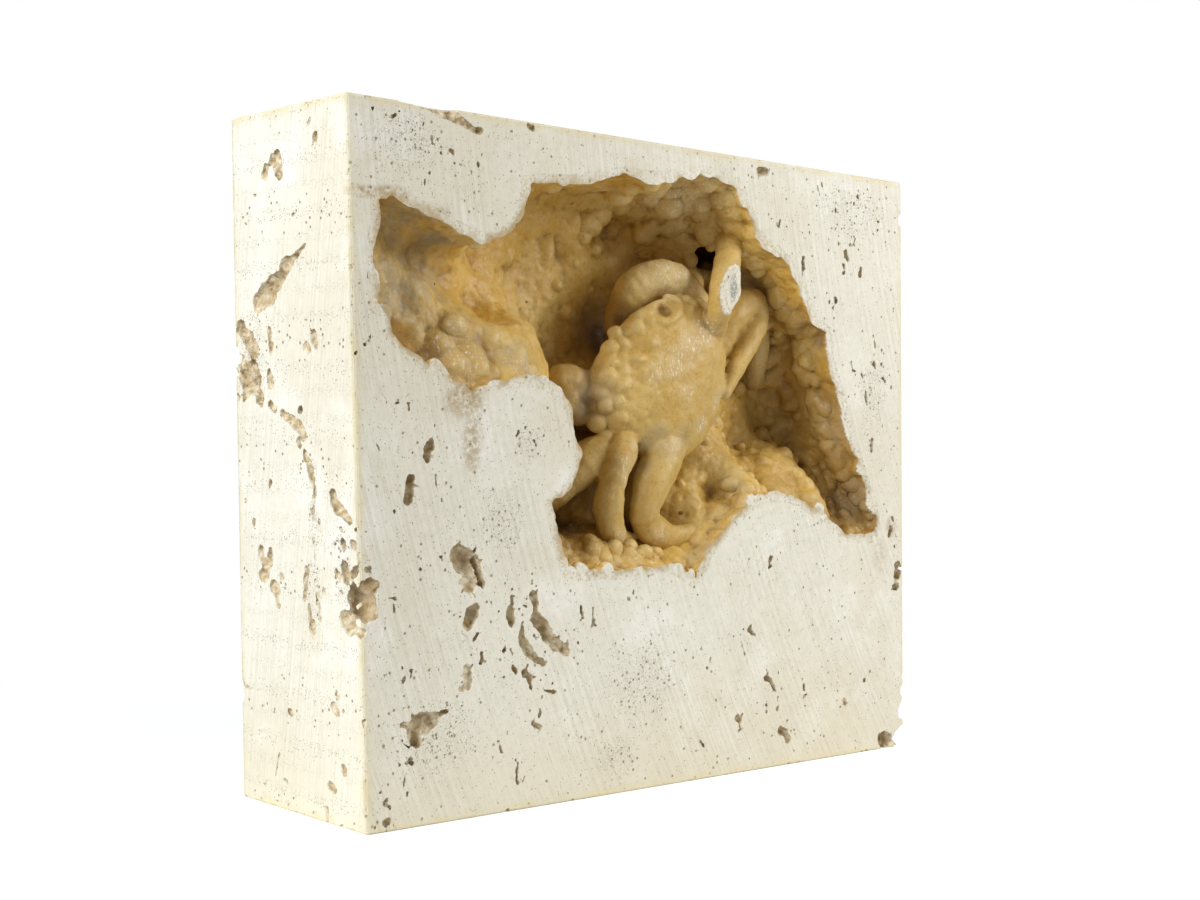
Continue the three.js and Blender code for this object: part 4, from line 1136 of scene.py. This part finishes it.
# whitish bloom on the crab, with painted glints where its white streaks show
markSpots(crabBody, "bloomAndGlint", [
    ((19, -20, 115), 6, 1), ((13, -21, 110), 6, 1), ((7.5, -20.5, 106), 6, 1),
    ((2, -19.5, 103), 4.5, 0.8), ((26, -19, 96.5), 6, 1), ((18, -20, 91), 4, 1), ((12, -21, 99), 5, 0.6),
    ((8, -18, 84), 5, 0.7), ((-6, -19, 78.5), 6, 1), ((7.5, -19.5, 72), 4, 0.8),
    ((31.5, -17, 96.5), 3.6, 0.9), ((-7, -17, 62), 4, 0.7), ((5, -18, 62), 4, 0.8), ((-3, -20, 86), 4, 0.6),
    ((12, -13, 130), 12, 0.7), ((-15, -10, 99), 8, 0.3),
])
markSpots(crabBody, "dullGrey", [
    ((4, -18, 86), 7, 0.6), ((12, -19, 87), 5, 0.5), ((1, -17, 80), 4, 0.5), ((-12, -8, 97), 11, 0.9),
])
print("crab", len(crabBody.data.polygons), "faces")
crabParts = splitCrab(crabBody)


def addNode(tree, kind, inputs=None, **settings):
    made = tree.nodes.new("ShaderNode" + kind)
    for name, value in settings.items():
        setattr(made, name, value)
    for key, value in (inputs or {}).items():
        if isinstance(value, bpy.types.NodeSocket):
            tree.links.new(value, made.inputs[key])
        else:
            made.inputs[key].default_value = value
    return made


def maths(tree, operation, a, b=0.0, clamp=False):
    return addNode(tree, "Math", {0: a, 1: b}, operation=operation, use_clamp=clamp).outputs[0]


def fade(tree, value, low, high, start=0.0, end=1.0):      # soft step of a value between low and high
    inputs = {"Value": value, "From Min": low, "From Max": high, "To Min": start, "To Max": end}
    return addNode(tree, "MapRange", inputs, interpolation_type="SMOOTHSTEP").outputs[0]


def tint(tree, factor, a, b, mode="MIX"):
    made = addNode(tree, "Mix", {0: factor, 6: a, 7: b}, data_type="RGBA", blend_type=mode)
    return made.outputs[2]


def colour(r, g, b):
    return (r, g, b, 1)


def noiseOf(tree, place, scale, detail=3.0, roughness=0.55, stretch=None):
    if stretch:
        place = addNode(tree, "VectorMath", {0: place, 1: stretch}, operation="MULTIPLY").outputs[0]
    inputs = {"Vector": place, "Scale": scale, "Detail": detail, "Roughness": roughness}
    return addNode(tree, "TexNoise", inputs).outputs["Fac"]


def distanceTo(tree, place, centre, stretch=(1, 1, 1)):
    apart = addNode(tree, "VectorMath", {0: place, 1: centre}, operation="SUBTRACT").outputs[0]
    apart = addNode(tree, "VectorMath", {0: apart, 1: stretch}, operation="MULTIPLY").outputs[0]
    return addNode(tree, "VectorMath", {0: apart}, operation="LENGTH").outputs["Value"]


def newGroup(name, inputs, outputs):
    tree = bpy.data.node_groups.new(name, "ShaderNodeTree")
    for socket, kind, value in inputs:
        made = tree.interface.new_socket(name=socket, in_out="INPUT", socket_type="NodeSocket" + kind)
        if value is not None:
            made.default_value = value
    for socket, kind in outputs:
        tree.interface.new_socket(name=socket, in_out="OUTPUT", socket_type="NodeSocket" + kind)
    return tree, tree.nodes.new("NodeGroupInput").outputs, tree.nodes.new("NodeGroupOutput").inputs


def useGroup(tree, group, inputs):
    made = tree.nodes.new("ShaderNodeGroup")
    made.node_tree = group
    for key, value in inputs.items():
        if isinstance(value, bpy.types.NodeSocket):
            tree.links.new(value, made.inputs[key])
        else:
            made.inputs[key].default_value = value
    return made.outputs


stone = {
    "cream": (0.83, 0.80, 0.69), "warm": (0.72, 0.64, 0.47), "white": (0.9, 0.885, 0.8),
    "pore": (0.3, 0.23, 0.13), "pitLight": (0.76, 0.68, 0.5), "pitDark": (0.42, 0.3, 0.15),
    "edge": (0.76, 0.66, 0.4),
    "sawCentre": (400, 0, 214),
    "poreFields": [              # where fine pores crowd: centre and reach
        ((-51.6, -25.9, 66.6), (7, 6, 9)), ((-44.6, -25.9, 85), (4.5, 6, 5)), ((-7, -25.9, 27), (13, 6, 13)),
        ((-15, -25.9, 9), (9, 6, 6)), ((80, -25.9, 101), (7, 6, 10)), ((-80, -25.9, 152), (12, 8, 8)),
        ((70, -25.9, 150), (16, 6, 9)), ((-90.5, -7, 51), (5, 4, 10)), ((-70, -25.9, 20), (14, 6, 10)),
        ((-92, -8, 72), (4, 3, 14)), ((-93, 16, 104), (4, 8, 12)), ((-90, -20, 58), (5, 5, 12)),
        ((20, 25, 60), (30, 8, 20)), ((-50, 24, 120), (24, 8, 16)), ((93, 0, 60), (8, 20, 26)),
    ],
    "stain": (0.5, 0.4, 0.25),
    "stains": [                  # centre, reach and strength
        ((-63, -25.9, 95), (8, 5, 5.5), 1), ((-61, -25.9, 85), (3.6, 5, 9), 0.9),
        ((-91.5, -25.9, 139.3), (6, 4, 1.8), 1), ((-84, -25.9, 140), (6, 4, 1.8), 1),
        ((-73, -25.9, 136.5), (8, 4, 2.4), 0.6),
        ((88.5, -25.9, 62.5), (3, 5, 4), 0.8), ((84, -25.9, 55), (4, 5, 6), 0.4),
    ],
    "rings": [
        ((-44.6, 0, 85), 16), ((-66, 0, 92), 22), ((46, 0, 46), 34), ((72, 0, 24), 18), ((-50, 0, 158), 24),
    ],
}
# rich also paints shade in creases, caves and gaps, deep only that shade; pale also paints light on crests
calcite = {
    "pale": (0.74, 0.55, 0.215), "honey": (0.72, 0.485, 0.13), "amber": (0.645, 0.39, 0.07),
    "richAndShade": (0.3, 0.16, 0.026), "deep": (0.06, 0.025, 0.005), "dustAndGlint": (0.86, 0.82, 0.7),
    "rim": (0.42, 0.3, 0.14),
    "dullGrey": (0.36, 0.29, 0.17),
}


def buildSawnDepth():            # how deep a point lies below the sawn faces, and how near an edge it is
    outputs = [("Depth", "Float"), ("Edge", "Float"), ("Face", "Float")]
    tree, given, out = newGroup("sawnDepth", [("Place", "Vector", None)], outputs)
    b = block
    leanLeft = (b["leftTopX"] - b["leftFootX"]) / b["height"]
    leanRight = (b["rightTopX"] - b["rightFootX"]) / b["height"]
    leanBack = (b["backTopY"] - b["backFootY"]) / b["height"]
    planes = [                   # inward direction and offset
        ((0, 1, 0), -b["frontY"]), ((0, -1, leanBack), b["backFootY"]), ((1, 0, -leanLeft), -b["leftFootX"]),
        ((-1, 0, leanRight), b["rightFootX"]), ((0, 0, 1), 0), ((0, 0, -1), b["height"]),
    ]
    depth = None
    near = None
    depths = []
    for direction, offset in planes:
        product = addNode(tree, "VectorMath", {0: given[0], 1: direction}, operation="DOT_PRODUCT")
        along = product.outputs["Value"]
        here = maths(tree, "ADD", along, offset)
        depths.append(here)
        closeness = fade(tree, here, 0.1, 2.6, 1, 0)
        depth = maths(tree, "MINIMUM", depth, here) if depth else here
        near = maths(tree, "ADD", near, closeness) if near else closeness
    face = maths(tree, "MINIMUM", depths[0], depths[1])
    tree.links.new(depth, out["Depth"])
    tree.links.new(maths(tree, "SUBTRACT", near, 1, clamp=True), out["Edge"])
    tree.links.new(fade(tree, face, 0.1, 0.9, 1, 0), out["Face"])
    return tree


def buildSawnStone():
    inputs = [("Place", "Vector", None), ("Depth", "Float", 0), ("Edge", "Float", 0), ("Face", "Float", 1)]
    outputs = [("Color", "Color"), ("Roughness", "Float"), ("Height", "Float")]
    tree, given, out = newGroup("sawnStone", inputs, outputs)
    place, depth, edge, face = (given[name] for name in ("Place", "Depth", "Edge", "Face"))
    clouds = noiseOf(tree, place, 0.022, 4)
    grain = noiseOf(tree, place, 0.55, 6, 0.65)
    tone = tint(tree, fade(tree, clouds, 0.42, 0.66), colour(*stone["cream"]), colour(*stone["warm"]))
    tone = tint(tree, 0.62, tone, colour(*stone["cream"]))
    whitened = fade(tree, noiseOf(tree, place, 0.05, 3), 0.5, 0.68, 0, 0.75)
    tone = tint(tree, whitened, tone, colour(*stone["white"]))
    tone = tint(tree, fade(tree, grain, 0.3, 0.7, 0, 0.22), tone, colour(0.6, 0.54, 0.4))
    low = addNode(tree, "SeparateXYZ", {0: place}).outputs[2]
    tone = tint(tree, fade(tree, low, 34, 0, 0, 0.55), tone, colour(*stone["warm"]))

    rings = None                 # faint growth bands round the lobes
    for centre, reach in stone["rings"]:
        away = distanceTo(tree, place, centre, (1, 0, 1))
        bend = maths(tree, "MULTIPLY", noiseOf(tree, place, 0.09, 2), 9)
        phase = maths(tree, "MULTIPLY", maths(tree, "ADD", away, bend), 2.1)
        wave = maths(tree, "SINE", phase)
        band = maths(tree, "MULTIPLY", wave, fade(tree, away, reach * 0.5, reach, 0.5, 0))
        rings = maths(tree, "ADD", rings, band) if rings else band
    tone = tint(tree, fade(tree, rings, 0.05, 0.5, 0, 0.1), tone, colour(0.62, 0.55, 0.4))

    away = distanceTo(tree, place, stone["sawCentre"], (1, 0, 1))
    product = addNode(tree, "VectorMath", {0: place, 1: (0.1, 1, 0.18)}, operation="DOT_PRODUCT")
    aside = product.outputs["Value"]
    across = addNode(tree, "Mix", {0: face, 2: aside, 3: away}, data_type="FLOAT").outputs[0]
    acrossBeds = {"W": across, "Detail": 1}
    broad = addNode(tree, "TexNoise", {**acrossBeds, "Scale": 0.9}, noise_dimensions="1D").outputs["Fac"]
    fine = addNode(tree, "TexNoise", {**acrossBeds, "Scale": 2.6}, noise_dimensions="1D").outputs["Fac"]
    patchy = fade(tree, noiseOf(tree, place, 0.06, 3), 0.35, 0.6, 0.25, 1)
    saw = maths(tree, "ADD", maths(tree, "MULTIPLY", broad, 0.5), maths(tree, "MULTIPLY", fine, 0.5))
    saw = maths(tree, "MULTIPLY", fade(tree, saw, 0.42, 0.62), patchy)
    tone = tint(tree, maths(tree, "MULTIPLY", saw, 0.26), tone, colour(0.5, 0.45, 0.33))

    mark = None
    for centre, reach, strength in stone["stains"]:
        here = fade(tree, distanceTo(tree, place, centre, tuple(1 / r for r in reach)), 0.3, 1.1, strength, 0)
        mark = maths(tree, "MAXIMUM", mark, here) if mark else here
    mark = maths(tree, "MULTIPLY", mark, fade(tree, noiseOf(tree, place, 0.8, 5, 0.7), 0.34, 0.58))
    tone = tint(tree, mark, tone, colour(*stone["stain"]))

    crowd = None
    for centre, reach in stone["poreFields"]:
        here = fade(tree, distanceTo(tree, place, centre, tuple(1 / r for r in reach)), 0.35, 1.1, 1, 0)
        crowd = maths(tree, "MAXIMUM", crowd, here) if crowd else here
    pores = None
    for scale, rare, size in ((0.75, 0.92, 0.3), (1.7, 0.885, 0.28), (3.6, 0.85, 0.3)):
        cells = addNode(tree, "TexVoronoi", {"Vector": place, "Scale": scale, "Randomness": 1})
        pick = addNode(tree, "SeparateXYZ", {0: cells.outputs["Color"]}).outputs[0]
        enough = maths(tree, "SUBTRACT", rare, maths(tree, "MULTIPLY", crowd, 0.55))
        chosen = maths(tree, "GREATER_THAN", pick, enough)
        hole = maths(tree, "MULTIPLY", fade(tree, cells.outputs["Distance"], size * 0.6, size, 1, 0), chosen)
        pores = maths(tree, "MAXIMUM", pores, hole) if pores else hole
    # painted shade: the tiny pores, too small to cut, are painted as dark spots
    tone = tint(tree, maths(tree, "MULTIPLY", pores, 0.85), tone, colour(*stone["pore"]))

    worn = maths(tree, "MULTIPLY", edge, fade(tree, noiseOf(tree, place, 0.12, 4), 0.4, 0.6, 0.3, 0.8))
    tone = tint(tree, worn, tone, colour(*stone["edge"]))
    pitTone = tint(tree, fade(tree, grain, 0.35, 0.65), colour(*stone["pitLight"]), colour(*stone["pitDark"]))
    # painted shade: pits are painted darker the deeper they go
    pitTone = tint(tree, fade(tree, depth, 1, 3, 0, 0.6), pitTone, colour(*stone["pitDark"]))
    tone = tint(tree, fade(tree, depth, 0.1, 0.5), tone, pitTone)

    height = maths(tree, "MULTIPLY", saw, -0.035)
    height = maths(tree, "ADD", height, maths(tree, "MULTIPLY", grain, 0.07))
    height = maths(tree, "SUBTRACT", height, maths(tree, "MULTIPLY", pores, 0.3))
    tree.links.new(tone, out["Color"])
    tree.links.new(fade(tree, grain, 0.3, 0.7, 0.78, 0.92), out["Roughness"])
    tree.links.new(height, out["Height"])
    return tree


def buildCalciteTone():
    inputs = [
        ("Place", "Vector", None), ("Crease", "Float", 0.5), ("DustAndGlint", "Float", 0), ("DullGrey", "Float", 0),
        ("RichAndShade", "Float", 0), ("Paleness", "Float", 0.3),
    ]
    outputs = [("Color", "Color"), ("Roughness", "Float"), ("Height", "Float")]
    tree, given, out = newGroup("calciteTone", inputs, outputs)
    place, crease, dustAndGlint, dullGrey, richAndShade, paleness = (
        given[name] for name in ("Place", "Crease", "DustAndGlint", "DullGrey", "RichAndShade", "Paleness")
    )
    clouds = noiseOf(tree, place, 0.07, 4)
    blotch = noiseOf(tree, place, 0.3, 4, 0.6)
    mottle = noiseOf(tree, place, 0.95, 5, 0.7)
    sugar = noiseOf(tree, place, 2.4, 4, 0.7)
    tone = tint(tree, fade(tree, clouds, 0.38, 0.62), colour(*calcite["honey"]), colour(*calcite["amber"]))
    pale = maths(tree, "ADD", paleness, maths(tree, "MULTIPLY", maths(tree, "SUBTRACT", blotch, 0.5), 1.7))
    pale = maths(tree, "ADD", pale, maths(tree, "MULTIPLY", maths(tree, "SUBTRACT", mottle, 0.5), 1.2))
    # painted light and shade: crests are painted paler and creases painted darker brown
    onCrest = maths(tree, "MULTIPLY", maths(tree, "SUBTRACT", 0.5, crease), 1.2)
    pale = maths(tree, "ADD", pale, onCrest, clamp=True)
    tone = tint(tree, pale, tone, colour(*calcite["pale"]))
    tone = tint(tree, fade(tree, crease, 0.52, 0.88, 0, 0.9), tone, colour(*calcite["richAndShade"]))
    # painted shade: the rich spots turn the calcite darker brown, and over 1 into the darkest brown of caves
    # and gaps
    tone = tint(tree, fade(tree, richAndShade, 0, 1, 0, 0.85), tone, colour(*calcite["richAndShade"]))
    tone = tint(tree, fade(tree, richAndShade, 1, 2, 0, 0.95), tone, colour(*calcite["deep"]))
    tone = tint(tree, fade(tree, mottle, 0.47, 0.28, 0, 0.45), tone, colour(*calcite["richAndShade"]))
    tone = tint(tree, fade(tree, sugar, 0.5, 0.7, 0, 0.2), tone, colour(*calcite["pale"]))
    tone = tint(tree, fade(tree, sugar, 0.46, 0.3, 0, 0.4), tone, colour(*calcite["richAndShade"]))
    grey = maths(tree, "MULTIPLY", dullGrey, fade(tree, blotch, 0.35, 0.6, 0.3, 0.9))
    tone = tint(tree, grey, tone, colour(*calcite["dullGrey"]))
    # a whitish veil of bloom, then white streaks and specks: whitish bloom and painted glints
    tone = tint(tree, maths(tree, "MULTIPLY", dustAndGlint, 0.11), tone, colour(*calcite["dustAndGlint"]))
    streaks = noiseOf(tree, place, 1.1, 4, 0.6, (1.6, 1, 0.55))
    specks = noiseOf(tree, place, 3.2, 2, 0.5)
    white = maths(tree, "MULTIPLY", fade(tree, streaks, 0.565, 0.62), fade(tree, specks, 0.44, 0.52))
    white = maths(tree, "MULTIPLY", white, fade(tree, dustAndGlint, 0.15, 0.8))
    tone = tint(tree, white, tone, colour(*calcite["dustAndGlint"]))
    tree.links.new(tone, out["Color"])
    tree.links.new(fade(tree, noiseOf(tree, place, 0.5, 3), 0.35, 0.65, 0.4, 0.62), out["Roughness"])
    height = maths(tree, "ADD", maths(tree, "MULTIPLY", blotch, 0.14), maths(tree, "MULTIPLY", mottle, 0.14))
    tree.links.new(maths(tree, "ADD", height, maths(tree, "MULTIPLY", sugar, 0.12)), out["Height"])
    return tree


def newMaterial(name):
    material = bpy.data.materials.new(name)
    material.use_nodes = True
    tree = material.node_tree
    coordinates = tree.nodes.new("ShaderNodeTexCoord").outputs["Object"]
    scaled = addNode(tree, "VectorMath", {0: coordinates, "Scale": 1 / mm}, operation="SCALE")
    inMillimetres = scaled.outputs[0]
    return material, tree, tree.nodes["Principled BSDF"], inMillimetres


def relief(tree, shader, height, strength):
    bump = addNode(tree, "Bump", {"Height": height, "Distance": mm, "Strength": strength})
    tree.links.new(bump.outputs[0], shader.inputs["Normal"])


def attributeOf(tree, name):
    return addNode(tree, "Attribute", attribute_name=name).outputs["Fac"]


def travertineMaterial():
    material, tree, shader, place = newMaterial("sawnTravertine")
    below = useGroup(tree, groups["depth"], {"Place": place})
    given = {"Place": place, "Depth": below["Depth"], "Edge": below["Edge"], "Face": below["Face"]}
    look = useGroup(tree, groups["stone"], given)
    tree.links.new(look["Color"], shader.inputs["Base Color"])
    tree.links.new(look["Roughness"], shader.inputs["Roughness"])
    shader.inputs["Specular IOR Level"].default_value = 0.3
    relief(tree, shader, look["Height"], 0.8)
    return material


def calciteMaterial(name, paleness, richness, rimStain, core=None):
    material, tree, shader, place = newMaterial(name)
    depth = maths(tree, "ADD", addNode(tree, "SeparateXYZ", {0: place}).outputs[1], -block["frontY"])
    pale = attributeOf(tree, "pale")
    richAndShade = maths(tree, "ADD", attributeOf(tree, "richAndShade"), richness)
    given = {
        "Place": place, "Crease": attributeOf(tree, "crease"), "DustAndGlint": attributeOf(tree, "bloomAndGlint"),
        "DullGrey": attributeOf(tree, "dullGrey"),
        "RichAndShade": maths(tree, "SUBTRACT", richAndShade, maths(tree, "MULTIPLY", pale, 0.4)),
        "Paleness": maths(tree, "ADD", pale, paleness),
    }
    look = useGroup(tree, groups["calcite"], given)
    sawn = useGroup(tree, groups["stone"], {"Place": place})
    ragged = maths(tree, "MULTIPLY", noiseOf(tree, place, 1.3, 4, 0.7), 2.2)
    section = fade(tree, maths(tree, "ADD", depth, ragged), 1.1, 1.7, 1, 0)
    patchy = maths(tree, "MULTIPLY", noiseOf(tree, place, 0.11, 3), 1.5)
    frayed = maths(tree, "MULTIPLY", noiseOf(tree, place, 0.9, 4, 0.7), 0.9)
    stained = maths(tree, "SUBTRACT", maths(tree, "ADD", attributeOf(tree, "rim"), frayed), patchy)
    stained = fade(tree, stained, -0.3, 0.6, rimStain, 0)
    sawnTone = tint(tree, stained, sawn["Color"], colour(*calcite["rim"]))
    tone = tint(tree, section, look["Color"], sawnTone)
    if core:
        inside = fade(tree, distanceTo(tree, place, core["centre"], core["stretch"]), 0.7, 1.05, 1, 0)
        specks = fade(tree, noiseOf(tree, place, 1.6, 3, 0.7), 0.4, 0.56)
        grey = tint(tree, specks, colour(*core["light"]), colour(*core["dark"]))
        tone = tint(tree, maths(tree, "MULTIPLY", inside, section), tone, grey)
    tree.links.new(tone, shader.inputs["Base Color"])
    rough = addNode(tree, "Mix", {0: section, 2: look["Roughness"], 3: sawn["Roughness"]}, data_type="FLOAT")
    tree.links.new(rough.outputs[0], shader.inputs["Roughness"])
    height = addNode(tree, "Mix", {0: section, 2: look["Height"], 3: sawn["Height"]}, data_type="FLOAT")
    relief(tree, shader, height.outputs[0], 0.8)
    shader.inputs["Specular IOR Level"].default_value = 0.36
    tree.links.new(fade(tree, section, 0, 1, 0.09, 0), shader.inputs["Coat Weight"])
    shader.inputs["Coat Roughness"].default_value = 0.12
    shader.inputs["Subsurface Weight"].default_value = 0.15
    shader.inputs["Subsurface Radius"].default_value = (1, 0.65, 0.22)
    shader.inputs["Subsurface Scale"].default_value = 1.2 * mm
    return material


def dress(piece, material, node, sharpAngle):
    piece.data.materials.clear()
    piece.data.materials.append(material)
    smoothShade(piece, sharpAngle)
    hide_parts(node)
    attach(piece, "root")


groups = {"depth": buildSawnDepth(), "stone": buildSawnStone(), "calcite": buildCalciteTone()}
dress(stonePiece, travertineMaterial(), "travertine_block", 40)
dress(crustPiece, calciteMaterial("honeyCalcite", 0.08, 0, 0.8), "calcite_crust", 60)

legCore = {
    "centre": (23.2, -25.9, 125.8), "stretch": (1 / 1.5, 0, 1 / 3.8),
    "light": (0.76, 0.74, 0.67), "dark": (0.36, 0.35, 0.31),
}
coating = calciteMaterial("crabCoating", 0.36, 0.4, 0, legCore)
for part, node in crabParts:
    dress(part, coating, node, 60)
print("materials")
